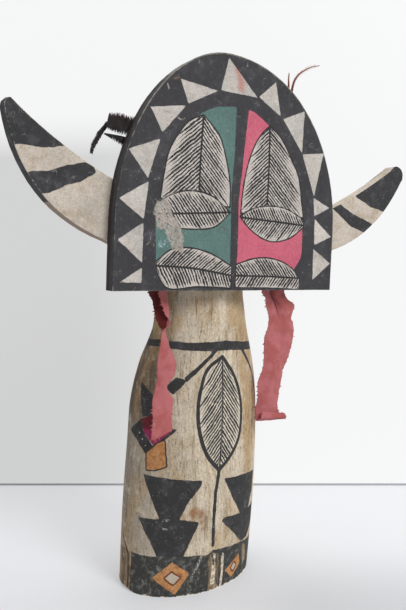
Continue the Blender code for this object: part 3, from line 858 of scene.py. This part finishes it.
def log_marks(tree, scheme, upright):
    """Lays the painted marks on the cream coat, each from its own paint."""
    place = object_place(tree)
    blotch = step_of(tree, cloudy(tree, place, 5 * MM, 4.0), 0.3, 0.6, 0.35, 0.9)
    bruised = sums(tree, "MULTIPLY", step_of(tree, stored_value(tree, "bruise"), 2.5, -4.0), blotch)
    scheme = mixed(tree, bruised, scheme, BRUISE_BROWN)
    magenta = step_of(tree, height_of(tree), MAGENTA_TOP, MAGENTA_TOP - 0.006)
    scheme = painted(tree, scheme, ("red", 0.0, 0.8, mixed(tree, magenta, DARK_RED, MAGENTA)))
    scheme = feather_drawing(tree, scheme, 0.66, 2.1, FEATHER_WHITE, BODY_BLACK)
    black = clouded(tree, BODY_BLACK, (SLATE, 12, 0.46, 0.7, 0.4), (DUST, 6, 0.6, 0.8, 0.6),
                    (CHALK, 3, 0.66, 0.76, 0.9))
    rubbed = step_of(tree, cloudy(tree, upright, 5 * MM, 6.0, 0.75), 0.56, 0.72, 0.0, 0.7)
    base = mixed(tree, rubbed, clouded(tree, BASE_BLACK, (DUST, 6, 0.48, 0.75, 0.6)), CREAM_SHADE)
    orange = clouded(tree, ORANGE, (ORANGE_DARK, 5, 0.45, 0.7, 0.7), (GREY_TONE_AND_SHADE, 3, 0.52, 0.72, 0.6))
    return painted(tree, scheme,
                   ("black", 0.0, 0.7, black),
                   ("base", 0.0, 0.9, base),
                   ("quad", 1.5, 0.6, BODY_BLACK),
                   ("quad", 0.0, 0.5, orange),
                   ("diamonds", 0.0, 0.8, orange),
                   ("hearts", 1.7, 0.9, RED_BROWN),
                   ("hearts", 0.0, 0.5, HEART_WHITE),
                   ("dots", 0.0, 0.3, HEART_WHITE))


def log_material():
    material, tree, shader = new_material("log_wood", 0.85)
    place = object_place(tree)
    upright = drawn_out(tree, place, STREAK_STRETCH)
    scheme, fibres = log_ground(tree, upright)
    scheme = log_marks(tree, scheme, upright)
    chips = step_of(tree, cloudy(tree, upright, 6 * MM, 5.0, 0.7), 0.62, 0.56)
    bared = sums(tree, "MULTIPLY", shape_mask(tree, "bare", 0.0, 1.4), chips)
    scheme = mixed(tree, bared, scheme, timber(tree, BARE_WOOD, BARE_WOOD_DARK, 0.85)["Color"])
    lines = sums(tree, "MULTIPLY", shape_mask(tree, "cream_line", 0.0, 1.0), chips)
    scheme = mixed(tree, lines, scheme, clouded(tree, CREAM, (BARE_WOOD, 3, 0.42, 0.66, 0.9)))
    broken = step_of(tree, cloudy(tree, place, 2.2 * MM, 4.0, 0.75), 0.44, 0.54)
    smeared = sums(tree, "MULTIPLY", shape_mask(tree, "smears", 0.0, 1.2), broken)
    scheme = mixed(tree, smeared, scheme, CHALK_GREY)
    scheme = painted(tree, scheme, ("crack", 0.0, 0.9, BARE_WOOD_DARK))
    foot = sums(tree, "MULTIPLY_ADD", cloudy(tree, place, 6 * MM, 5.0, 0.7), -0.008, height_of(tree))
    scheme = mixed(tree, step_of(tree, foot, -0.0032, -0.004), scheme, CREAM)
    aged = coat(tree, scheme, DUST, 0.27, 0.65, 0.4)
    tree.links.new(aged["Color"], shader.inputs["Base Color"])
    relief = sums(tree, "MULTIPLY_ADD", fibres, 1.2, aged["Height"])
    bumped(tree, shader, relief, 0.22 * MM)
    return material


LOG_ROWS = ring_rows()
log = shaped_log()
carve_log(log)
finished("painted_log", log, Matrix.Identity(4), "body", log_material(), LOG_SMOOTH)

# Horns
# Two sawn crescents of the same stock as the board, fixed on its back and painted cream,
# with a black band and a black tip that run over the front and its edges.
HORN_CELL = 1.5 * MM
HORN_BACK = 31.0
HORN_UNEVEN = 0.25 * MM
# The right horn's tip is an arc: its middle and radius in mm, and from where to where it turns
TIP_MIDDLE = (238.5, 138.5)
TIP_RADIUS = 11.8
TIP_TURNS = (-40, 20, 90, 150)
HORN_BLACKS = {
    "left": (
        ((-240, 175), (-240, 100), (-212, 119), (-206, 120), (-194, 119), (-183, 120), (-168, 124),
         (-160, 175)),
        ((-205, 96), (-199, 98), (-184, 100), (-177, 103), (-167, 107), (-152, 111), (-143, 108),
         (-141, 103), (-156, 93), (-167, 90), (-183, 81), (-195, 80)),
    ),
    "right": (
        ((173, 112), (175, 109), (192, 102), (199, 99), (217, 96), (240, 90), (275, 120), (275, 170),
         (173, 170)),
        ((140, 107), (151, 99), (168, 91), (186, 85), (203, 80), (203, 66), (187, 70), (169, 75), (152, 86),
         (140, 93)),
    ),
}
# What the edges of each horn are painted: black down to this height, cream below it
HORN_EDGE_BLACK = {"left": 74, "right": 400}
HORN_EDGE_TAN = {"left": 1.0, "right": 0.3}
HORN_WEAR = {"left": 0.74, "right": 0.58}
HORN_FACE = 1.3 * MM
HORN_ARRIS_REACH = 2 * MM
HORN_SWELL = 30 * MM
HORN_CREAM = colour(203, 192, 178)
HORN_SHADE = colour(172, 152, 126)
HORN_TAN = colour(124, 104, 88)
HORN_BLACK = colour(58, 58, 59)


def horn_material():
    material, tree, shader = new_material("horn_paint", 0.82)
    cream = clouded(tree, HORN_CREAM, (HORN_SHADE, 12, 0.45, 0.72, 0.7))
    specks = step_of(tree, cloudy(tree, object_place(tree), 2 * MM, 3.0, 0.75), 0.56, 0.72, 0.0, 0.6)
    cream = mixed(tree, specks, cream, HORN_TAN)
    tanned = step_of(tree, stored_value(tree, "edge_tan"), 0.3, 0.7, 0.0, 0.8)
    cream = mixed(tree, tanned, cream, HORN_TAN)
    black = clouded(tree, HORN_BLACK, (SLATE, 10, 0.46, 0.7, 0.5))
    scheme = painted(tree, cream, ("black", 0.0, 0.8, black))
    scheme = worn_arris(tree, scheme, HORN_CREAM)
    aged = coat(tree, scheme, DUST, 0.3, 0.5, 0.6)
    tree.links.new(aged["Color"], shader.inputs["Base Color"])
    bumped(tree, shader, aged["Height"], 0.12 * MM)
    return material


def round_tip(mesh, rim):
    """Turns the tip of the right horn into an arc, by the distance of its rim from the arc's middle."""
    arms = np.array([(vert.co.x, vert.co.z) for vert in mesh.verts]) / MM - TIP_MIDDLE
    turns = np.degrees(np.arctan2(arms[:, 1], arms[:, 0]))
    lengths = np.hypot(*arms.T)
    order = np.argsort(turns[rim])
    reach = np.interp(turns, turns[rim][order], lengths[rim][order])
    swell = np.interp(turns, TIP_TURNS, (0, 1, 1, 0)) * (TIP_RADIUS / reach - 1)
    for vert, (across, up) in zip(mesh.verts, arms * swell[:, None] * MM):
        vert.co += Vector((across, 0, up))


horn_paint = horn_material()
for side, blacks in HORN_BLACKS.items():
    horn = plate_copy(side + "_horn", HORN_CELL, (HORN_BACK - 0.1) * MM)
    front = min(vert.co.y for vert in horn.verts)
    on_edge = np.array([vert.co.y - front > HORN_FACE for vert in horn.verts])
    if side == "right":
        round_tip(horn, on_edge)
    spots = np.array([(vert.co.x, vert.co.z) for vert in horn.verts]) / MM
    edge_black = np.clip(HORN_EDGE_BLACK[side] - spots[:, 1], -5, FAR_AWAY)
    black = np.where(on_edge, edge_black, outside_all(spots, blacks))
    wear = arris_wear(horn, front, HORN_ARRIS_REACH, lambda height: HORN_WEAR[side])
    write_layers(horn, {"black": black, "edge_tan": on_edge * HORN_EDGE_TAN[side], "arris": wear})
    roughen(horn, HORN_UNEVEN, HORN_SWELL)
    finished("painted_" + side + "_horn", horn, BOARD_FRAME, side + "_horn", horn_paint)

# Cloth strips
# Two strips torn from one piece of coarse red cotton, faded to pink where the light reaches.
# They are glued flat to the back of the board and hang below it, folded, twisted and frayed.
CLOTH_THICKNESS = 0.5 * MM
CLOTH_STEPS = 8
CLOTH_RIPPLE = 0.5 * MM
CLOTH_SWELL = 7 * MM
STRIP_SEEDS = {"left": 3, "right": 8}
THREAD_REACH = 2.0 * MM
THREAD_CHANCE = 0.8
THREAD_PITCH = 0.9

# Rows from the glued end down: height of the row's two ends, then places over its width,
# as (across, depth), in mm in the board's frame
LEFT_STRIP = (
    ((28, 28), ((-83, 16.6), (-76, 16.6), (-69, 16.6), (-62, 16.6))),
    ((10, 10), ((-83, 17), (-76, 17), (-68, 17), (-62, 16.8))),
    ((-3, -3), ((-83, 20), (-72, 24), (-61.5, 22), (-73, 17.5))),
    ((-12, -12), ((-76, 25), (-68.5, 27), (-60.5, 22), (-70, 18))),
    ((-24, -24), ((-72, 27), (-66, 26), (-59.5, 21), (-65, 18.5))),
    ((-36, -34), ((-67.5, 26), (-64.5, 24), (-61, 21), (-59, 18.5))),
    ((-46, -41), ((-60, 25), (-61, 23), (-63, 20.5), (-66.5, 18))),
    ((-56, -56), ((-57.5, 21), (-61, 20), (-64.5, 19), (-68.7, 19))),
    ((-75, -75), ((-50.5, 20), (-57, 18.2), (-64, 18), (-71, 19))),
    ((-86, -86), ((-51.5, 20), (-58, 18.5), (-64.5, 18), (-70.5, 19))),
    ((-97, -97), ((-59.5, 19.5), (-63.5, 18.5), (-67.5, 19), (-71.7, 20))),
    ((-108, -109), ((-53, 20), (-60, 19), (-67, 20), (-74, 20.5))),
    ((-128, -130), ((-51.7, 21.5), (-59, 19.3), (-66, 19), (-73.3, 20))),
    ((-141, -150), ((-51, 21), (-58.5, 19), (-66, 19.5), (-74, 21))),
)
RIGHT_STRIP = (
    ((28, 28), ((50, 16.6), (58, 16.6), (65, 16.6), (73, 16.6), (82, 16.6))),
    ((10, 10), ((49, 16.8), (57, 17.2), (65, 17.2), (73, 17), (80, 16.8))),
    ((-3, -3), ((50, 17.5), (59, 18), (65, 23), (68, 18), (79.5, 17.5))),
    ((-9, -9), ((55.5, 18.5), (62, 18), (69, 24), (72, 18.5), (84, 18))),
    ((-17, -16), ((57.5, 20), (65, 18), (73, 23), (77, 19), (96.5, 20.5))),
    ((-28, -28), ((61, 19), (68, 18.5), (75.5, 20), (84, 18.5), (92.5, 20))),
    ((-41, -41), ((60, 18.5), (69, 18), (78, 18.6), (87, 18), (96.7, 20))),
    ((-50, -52), ((57.5, 19.5), (67, 18), (77, 19.5), (87, 18.5), (96.3, 20))),
    ((-72, -70), ((58, 20), (66, 18.5), (75, 18), (83, 19.5), (92, 20))),
    ((-88, -90), ((57, 21), (64, 20), (71, 18.8), (78, 20), (85.3, 21.5))),
    ((-98, -100), ((53, 22), (61, 21), (69, 20), (76, 20.5), (84.3, 22))),
    ((-116, -116), ((54.7, 23.5), (61, 21.5), (68, 21), (75, 22), (83, 23.5))),
    ((-134, -134), ((53.5, 25), (60, 22), (68, 21.6), (75, 21), (82.5, 22))),
    ((-141.5, -142), ((53, 21), (61, 18), (70, 17.5), (78, 17.5), (86.5, 17.5))),
    ((-138, -139.5), ((54, 16), (62, 14.7), (70, 14.5), (78, 14.5), (88, 14.8))),
    ((-131, -135), ((58, 18), (64.5, 17.5), (71, 17), (78, 17.2), (86.5, 16.5))),
)
PLEAT_AT = 0.47
PLEAT_HALF = 0.055


def hung_cloth(rows):
    """A cloth laid smoothly through rows of places, with its across and down in mm stored."""
    places = [[(*place, height) for place, height in zip(row, np.linspace(*ends, len(row)))]
              for ends, row in rows]
    stations = len(rows[0][1])
    lengthwise = smooth_line([np.ravel(row) for row in places], CLOTH_STEPS + 4)
    lattice = np.array([smooth_line(row.reshape(stations, 3), CLOTH_STEPS) for row in lengthwise])
    downs, acrosses = lattice.shape[:2]
    mesh = bmesh.new()
    bmesh.ops.create_grid(mesh, x_segments=acrosses - 1, y_segments=downs - 1, size=0.5)
    spots = [(vert.co.x + 0.5, 0.5 - vert.co.y) for vert in mesh.verts]
    width = np.linalg.norm(np.diff(lattice, axis=1), axis=2).sum(axis=1).mean()
    length = np.linalg.norm(np.diff(lattice, axis=0), axis=2).sum(axis=0).mean()
    shares = np.array(spots)
    across_share, down_share = shares.T
    write_layers(mesh, {"weft": across_share * width, "warp": down_share * length, "share": across_share})
    for vert, (across, down) in zip(mesh.verts, spots):
        place = lattice[round(down * (downs - 1)), round(across * (acrosses - 1))]
        vert.co = Vector(place) * MM
    bmesh.ops.recalc_face_normals(mesh, faces=mesh.faces)
    return mesh


def torn_edges(mesh, rng):
    """Waves the torn edges a little and pulls loose threads out of them."""
    edges = [edge for edge in mesh.edges if edge.is_boundary and edge.verts[0].co.z < -2 * MM]
    for vert in dict.fromkeys(vert for edge in edges for vert in edge.verts):
        vert.co += Vector((rng.uniform(-1, 1), rng.uniform(-1, 1), rng.uniform(-1, 1))) * 0.3 * MM
    for edge in edges:
        if rng.random() > THREAD_CHANCE:
            continue
        middle = (edge.verts[0].co + edge.verts[1].co) / 2
        outward = (middle - edge.link_faces[0].calc_center_median()).normalized()
        droop = Vector((rng.uniform(-0.6, 0.6), rng.uniform(-0.6, 0.6), rng.uniform(-0.9, 0.3)))
        end = middle + (outward + droop) * THREAD_REACH * rng.uniform(0.1, 1.0) ** 3
        pulled = bmesh.ops.extrude_edge_only(mesh, edges=[edge])["geom"]
        for vert in pulled:
            if isinstance(vert, bmesh.types.BMVert):
                vert.co = end + (vert.co - middle) * 0.15


def weave_group():
    """Plain weave of coarse thread: how dark its gaps are, and how high its threads stand."""
    tree, given, result = new_group("plain_weave", {"Pitch": 1.0}, {"Gaps": "Float", "Height": "Float"})
    waves = []
    for name in ("weft", "warp"):
        uneven = cloudy(tree, object_place(tree), 6 * MM, 2.0)
        run = sums(tree, "ADD", stored_value(tree, name), sums(tree, "MULTIPLY", uneven, 2.5))
        turn = sums(tree, "MULTIPLY", sums(tree, "DIVIDE", run, given["Pitch"]), math.pi)
        waves.append(sums(tree, "SINE", turn))
    over = sums(tree, "MULTIPLY", waves[0], waves[1])
    height = sums(tree, "MULTIPLY_ADD", over, 0.5, 0.5)
    tree.links.new(height, result["Height"])
    tree.links.new(step_of(tree, height, 0.45, 0.1), result["Gaps"])
    return tree


WEAVE = weave_group()
FADED_PINK = colour(196, 114, 116)
WORN_PINK = colour(204, 150, 146)
BRICK_PINK = colour(182, 98, 96)
DEEP_RED = colour(100, 36, 34)


def cloth_material():
    material, tree, shader = new_material("cloth", 0.95)
    shader.inputs["Sheen Weight"].default_value = 0.15
    place = object_place(tree)
    weave = add(tree, "Group", {"Pitch": THREAD_PITCH}, node_tree=WEAVE).outputs
    patches = step_of(tree, cloudy(tree, place, 16 * MM, 4.0), 0.42, 0.62)
    scheme = mixed(tree, patches, FADED_PINK, BRICK_PINK)
    worn = step_of(tree, cloudy(tree, place, 5 * MM, 5.0, 0.7), 0.55, 0.75, 0.0, 0.6)
    scheme = mixed(tree, worn, scheme, WORN_PINK)
    # Deep red where the dye is unfaded and, as painted shade, deep in the folds
    scheme = mixed(tree, stored_value(tree, "unfaded_and_shaded"), scheme, DEEP_RED)
    scheme = mixed(tree, sums(tree, "MULTIPLY", weave["Gaps"], 0.35), scheme, DEEP_RED)
    tree.links.new(scheme, shader.inputs["Base Color"])
    bumped(tree, shader, weave["Height"], 0.25 * MM)
    return material


def inner_face_dark_red(share, height):
    """The left strip's inner face above its twist: unfaded deep red, and painted shade between its folds.
    """
    return float(np.interp(share, (0.62, 0.7), (1, 0)) * np.interp(height, (-44, -38), (0, 1)))


def pleat_shade(share, height):
    """Painted shade and unfaded red in the bottom of the right strip's pleat."""
    depth = max(0.0, 1 - abs(share - PLEAT_AT) / PLEAT_HALF)
    return float(depth * np.interp(height, (-33, -22), (0, 1)))


cotton = cloth_material()
for side, rows, unfaded_and_shaded in (("left", LEFT_STRIP, inner_face_dark_red), ("right", RIGHT_STRIP, pleat_shade)):
    strip = hung_cloth(rows)
    share = strip.verts.layers.float["share"]
    fold_darkness = np.array([unfaded_and_shaded(vert[share], vert.co.z / MM) for vert in strip.verts])
    write_layers(strip, {"unfaded_and_shaded": fold_darkness})
    roughen(strip, CLOTH_RIPPLE, CLOTH_SWELL, lambda spot: min(max(-spot.z / (10 * MM), 0.0), 1.0))
    torn_edges(strip, random.Random(STRIP_SEEDS[side]))
    node = side + "_cloth_strip"
    strip_piece = finished("torn_" + side + "_strip", strip, BOARD_FRAME, node, cotton, math.pi)
    thickness = strip_piece.modifiers.new("thickness", "SOLIDIFY")
    thickness.thickness = CLOTH_THICKNESS
    thickness.offset = 0.0

# Feathers
# Their quills are glued on the back of the board beside the head, and what passes the rim
# shows: a dark downy one, a dark curled one, a dark stub under them, and two thin red ones.
QUILL_WIDTHS = {"black_feather": (1.7, 0.4), "red_feather": (2.7, 1.1)}
DOWN_PITCH = 0.28
VANE_PITCH = 0.42
HAIR_PITCH = 1.1

# Each feather: its node, the shaft past the rim as (across, up), and its vanes: side of the
# shaft, the shares of the shaft between which it grows, barb lengths from the first to the
# last, sweep, spacing, barb width, and the barbs' tones from root to tip
FEATHERS = {
    "downy_black_feather": ("fluffy_feather", (
        (-98, 149), (-107, 149), (-114, 148.5), (-122, 149), (-130.5, 151)), (
        (-1, (0.0, 1.0), (7.5, 9.5, 10.5, 10, 7), 0.1, DOWN_PITCH, 1.4, (0.25, 1.0)),
        (1, (0.0, 1.0), (8, 9, 9, 8, 7), 0.1, DOWN_PITCH, 1.4, (0.0, 0.3)),
    )),
    "curled_black_feather": ("curled_feather", (
        (-119, 152), (-127.6, 150.2), (-132.5, 144.5), (-137, 137.6), (-140, 132), (-142.5, 126.5),
        (-144, 120)), (
        (-1, (0.1, 0.97), (2.6, 4.0, 4.6, 4.2, 2.6), 1.7, VANE_PITCH, 1.0, (0.1, 0.5)),
        (1, (0.1, 0.97), (3.0, 4.6, 5.2, 4.4, 2.6), 1.7, VANE_PITCH, 1.0, (0.0, 0.3)),
    )),
    "black_feather_stub": ("lower_feather", (
        (-108, 137.5), (-115, 138.6), (-124, 139.2), (-132.5, 139.6)), (
        (1, (0.05, 1.0), (9.5, 8, 6, 3.8, 1.5), 0.15, 0.3, 1.1, (0.0, 0.25)),
    )),
    "red_hair_feather": ("red_feather", (
        (76, 206), (77, 215), (80, 224), (85.5, 231), (93, 236.5), (101.1, 241), (112.5, 244.8)), (
        (1, (0.0, 0.9), (3.5, 4.0, 4.0, 4.5, 3.5), 1.6, HAIR_PITCH, 0.22, (0.45, 0.7)),
        (-1, (0.0, 0.9), (3.0, 3.5, 4.5, 4.5, 3.5), 1.5, HAIR_PITCH, 0.22, (0.45, 0.7)),
        (-1, (0.0, 0.28), (3.2, 3.5, 3.0, 2.0), 2.4, 0.4, 0.75, (0.2, 0.55)),
    )),
    "red_wisp_feather": ("red_wisp", (
        (74.5, 212), (75, 218), (74.6, 224), (74.9, 231)), (
        (1, (0.1, 0.9), (2.5, 3.0, 2.5), 1.8, HAIR_PITCH, 0.22, (0.45, 0.7)),
        (-1, (0.1, 0.9), (2.5, 3.0, 2.5), 1.8, HAIR_PITCH, 0.22, (0.45, 0.7)),
    )),
}


def strand(mesh, line, widths, tones, sides=3):
    """A tapering hair or quill along a line of (across, depth, up) points in mm."""
    first = len(mesh.verts)
    cone = bmesh.ops.create_cone(mesh, cap_ends=True, segments=sides, radius1=widths[0] / 2,
                                 radius2=widths[1] / 2, depth=1)["verts"]
    lengthwise = dict.fromkeys(edge for vert in cone for edge in vert.link_edges if rise_of(edge) > 0.5)
    bmesh.ops.subdivide_edges(mesh, edges=list(lengthwise), cuts=len(line) - 2, use_grid_fill=True)
    mesh.verts.ensure_lookup_table()
    tone = mesh.verts.layers.float["tone"]
    slopes = np.gradient(np.array(line), axis=0)
    for vert in mesh.verts[first:]:
        share = vert.co.z + 0.5
        at = round(share * (len(line) - 1))
        along = Vector(slopes[at]).normalized()
        across = Vector((0, 1, 0)).cross(along).normalized()
        vert.co = (Vector(line[at]) + across * vert.co.x + along.cross(across) * vert.co.y) * MM
        vert[tone] = tones[0] + (tones[1] - tones[0]) * share


def add_vane(mesh, shaft, vane, rng):
    """Barbs along one side of the shaft, which lean towards its tip."""
    side, reach, lengths, sweep, spacing, width, tones = vane
    steps = np.linalg.norm(np.diff(shaft, axis=0), axis=1)
    runs = np.concatenate([[0.0], np.cumsum(steps)])
    count = int(runs[-1] * (reach[1] - reach[0]) / spacing)
    for number in range(count):
        share = (number + rng.random()) / count
        run = runs[-1] * (reach[0] + (reach[1] - reach[0]) * share)
        start, ahead, behind = (np.array([np.interp(at, runs, column) for column in shaft.T])
                                for at in (run, run + 0.5, run - 0.5))
        along = (ahead - behind) / np.linalg.norm(ahead - behind)
        out = np.array([-along[2], 0, along[0]]) * side
        length = np.interp(share, np.linspace(0, 1, len(lengths)), lengths) * rng.uniform(0.78, 1.06)
        toward = along * sweep * rng.uniform(0.7, 1.3) + out + np.array([0, rng.uniform(-0.12, 0.12), 0])
        tip = start + toward / np.linalg.norm(toward) * length
        bend = out * length * 0.08
        line = [start, start + (tip - start) * 0.35 + bend, start + (tip - start) * 0.7 + bend, tip]
        strand(mesh, line, (width, width * 0.2), tones)


def grown_feather(node, slot, past_rim, vanes, rng):
    """A feather whose quill starts where its CAD quill does, behind the board."""
    corners = [BOARD_FRAME.inverted() @ vert.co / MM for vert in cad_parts[node].data.vertices]
    root = min(corners, key=lambda corner: abs(corner.x))
    depth = sum(corner.y for corner in corners) / len(corners)
    mesh = bmesh.new()
    mesh.verts.layers.float.new("tone")
    quill = [(root.x, depth, root.z), *((across, depth, up) for across, up in past_rim)]
    shown = np.array(smooth_line(quill[1:], 5))
    strand(mesh, [quill[0], *shown], QUILL_WIDTHS[slot], (0.0, 1.0), 6)
    for vane in vanes:
        add_vane(mesh, shown, vane, rng)
    bmesh.ops.recalc_face_normals(mesh, faces=mesh.faces)
    return mesh


def feather_material(name, root, middle, tip, fleck, flecks):
    """Barbs whose colour goes by their tone, with lighter flecks over them."""
    material, tree, shader = new_material(name, 0.6)
    place = object_place(tree)
    tone = stored_value(tree, "tone")
    scheme = mixed(tree, step_of(tree, tone, 0.0, 0.5), root, middle)
    scheme = mixed(tree, step_of(tree, tone, 0.5, 1.0), scheme, tip)
    light = step_of(tree, cloudy(tree, place, 3 * MM, 4.0, 0.7), 0.55, 0.7, 0.0, flecks)
    tree.links.new(mixed(tree, light, scheme, fleck), shader.inputs["Base Color"])
    bumped(tree, shader, cloudy(tree, place, 0.6 * MM), 0.1 * MM)
    return material


black_down = feather_material("black_feather", colour(26, 22, 22), colour(38, 30, 29), colour(74, 52, 48),
                              colour(108, 104, 98), 0.35)
red_hair = feather_material("red_feather", colour(92, 34, 22), colour(136, 76, 56), colour(170, 138, 122),
                            colour(196, 132, 104), 0.5)
for number, (name, (node, past_rim, vanes)) in enumerate(FEATHERS.items()):
    material = red_hair if node.startswith("red") else black_down
    slot = "red_feather" if node.startswith("red") else "black_feather"
    feather = grown_feather(node, slot, past_rim, vanes, random.Random(number))
    finished(name, feather, BOARD_FRAME, node, material)

# Setting
# A plain pale table with a pale backdrop behind it, and soft studio light.
FLOOR_BACK = 0.952
FLOOR_REACH = 6.0
FLOOR_GREY = colour(184, 185, 188)
FLOOR_TINT = (0.985, 0.99, 1.0, 1.0)
FLOOR_PAINTED_SHADOW = 0.15
WALL_GREY = colour(92, 92, 92)
WALL_TINT = (0.99, 0.995, 1.0, 1.0)
FLOOR_GLOW = (0.255, 0.345)
WALL_GLOW = (0.565, 0.83)
EDGE_SHADE_GREY = colour(178, 180, 184)
EDGE_HEIGHT = 0.003
WALL_HEIGHT = 4.0
WORLD_TINT = (0.97, 0.975, 0.99, 1.0)
WORLD_STRENGTH = 0.37

setting_turn = Matrix.Translation((*CAMERA_PLACE[:2], 0)) @ Matrix.Rotation(CAMERA_HEADING, 4, "Z")


def plain_plane(name, corners, material):
    """A stage surface between four corners, turned with the camera."""
    mesh = bmesh.new()
    mesh.faces.new([mesh.verts.new(setting_turn @ Vector(corner)) for corner in corners])
    data = bpy.data.meshes.new(name)
    mesh.to_mesh(data)
    mesh.free()
    data.materials.append(material)
    plane = bpy.data.objects.new(name, data)
    bpy.context.scene.collection.objects.link(plane)


def glowing_material(name, base_colour, tint):
    """A studio surface that also glows, so that no hard shadow shows on it."""
    material, tree, shader = new_material(name, 0.5)
    shader.inputs["Base Color"].default_value = base_colour
    shader.inputs["Emission Color"].default_value = tint
    return material, tree, shader


def lie_along(tree, axis):
    """How far a place lies along an axis of the setting, from the camera's foot."""
    ends = {0: object_place(tree), 1: setting_turn.translation}
    shift = add(tree, "VectorMath", ends, operation="SUBTRACT").outputs[0]
    both = {0: shift, 1: setting_turn.to_3x3() @ Vector(axis)}
    return add(tree, "VectorMath", both, operation="DOT_PRODUCT").outputs["Value"]


def clear_from_behind(tree, shader):
    """Makes a surface see-through from its back."""
    clear = add(tree, "BsdfTransparent")
    behind = add(tree, "NewGeometry").outputs["Backfacing"]
    both = add(tree, "MixShader", {0: behind, 1: shader.outputs[0], 2: clear.outputs[0]})
    tree.links.new(both.outputs[0], tree.nodes["Material Output"].inputs["Surface"])


def wall_material():
    """Pale paper whose glow is painted light: brighter high up and to the right, and painted shade low on
    the left.
    """
    material, tree, shader = glowing_material("backdrop", WALL_GREY, WALL_TINT)
    strength = step_of(tree, lie_along(tree, (1, 0, 0)), -0.2, 0.12, *WALL_GLOW)
    high = step_of(tree, height_of(tree), 0.37, 0.56, 0.0, WALL_GLOW[1])
    tree.links.new(sums(tree, "MAXIMUM", strength, high), shader.inputs["Emission Strength"])
    clear_from_behind(tree, shader)
    return material


def floor_material():
    """Pale card whose glow is painted light: a little darker in front, and a painted shadow of the doll in
    front on the right.
    """
    material, tree, shader = glowing_material("table_top", FLOOR_GREY, FLOOR_TINT)
    depth = lie_along(tree, (0, 1, 0))
    strength = step_of(tree, depth, 0.45, 0.85, *FLOOR_GLOW)
    on_right = step_of(tree, lie_along(tree, (1, 0, 0)), 0.0, 0.12, 0.0, FLOOR_PAINTED_SHADOW)
    dim = sums(tree, "MULTIPLY", step_of(tree, depth, 0.76, 0.6), on_right)
    tree.links.new(sums(tree, "SUBTRACT", strength, dim), shader.inputs["Emission Strength"])
    return material


# The table's back edge: a grey strip, partly a painted shade line where the table meets the backdrop
def edge_material():
    material, tree, shader = new_material("table_edge", 0.8)
    shader.inputs["Base Color"].default_value = EDGE_SHADE_GREY
    clear_from_behind(tree, shader)
    return material


# From where to where each one goes back and up
for name, (near, far), (foot, top), surface in (
        ("floor", (-FLOOR_REACH, FLOOR_REACH), (0, 0), floor_material()),
        ("table_edge", (FLOOR_BACK - 0.01, FLOOR_BACK - 0.01), (0, EDGE_HEIGHT), edge_material()),
        ("backdrop", (FLOOR_BACK, FLOOR_BACK), (0, WALL_HEIGHT), wall_material())):
    plain_plane(name, ((-FLOOR_REACH, near, foot), (FLOOR_REACH, near, foot),
                       (FLOOR_REACH, far, top), (-FLOOR_REACH, far, top)), surface)


LIGHT_AIM = (0, 0, 0.25)


def soft_light(name, place, size, power):
    """A round studio lamp aimed at the doll's body."""
    light = bpy.data.lights.new(name, "AREA")
    light.shape = "DISK"
    light.size = size
    light.energy = power
    lamp = bpy.data.objects.new(name, light)
    lamp.location = place
    lamp.rotation_euler = (Vector(LIGHT_AIM) - Vector(place)).to_track_quat("-Z", "Y").to_euler()
    bpy.context.scene.collection.objects.link(lamp)


soft_light("key", (0.7, -2.9, 2.6), 1.6, 78)
soft_light("top", (0.1, 0.1, 2.4), 1.2, 14)
world = bpy.data.worlds.new("studio")
world.use_nodes = True
background = world.node_tree.nodes["Background"].inputs
background["Color"].default_value = WORLD_TINT
background["Strength"].default_value = WORLD_STRENGTH
bpy.context.scene.world = world
bpy.context.scene.view_settings.view_transform = "Standard"
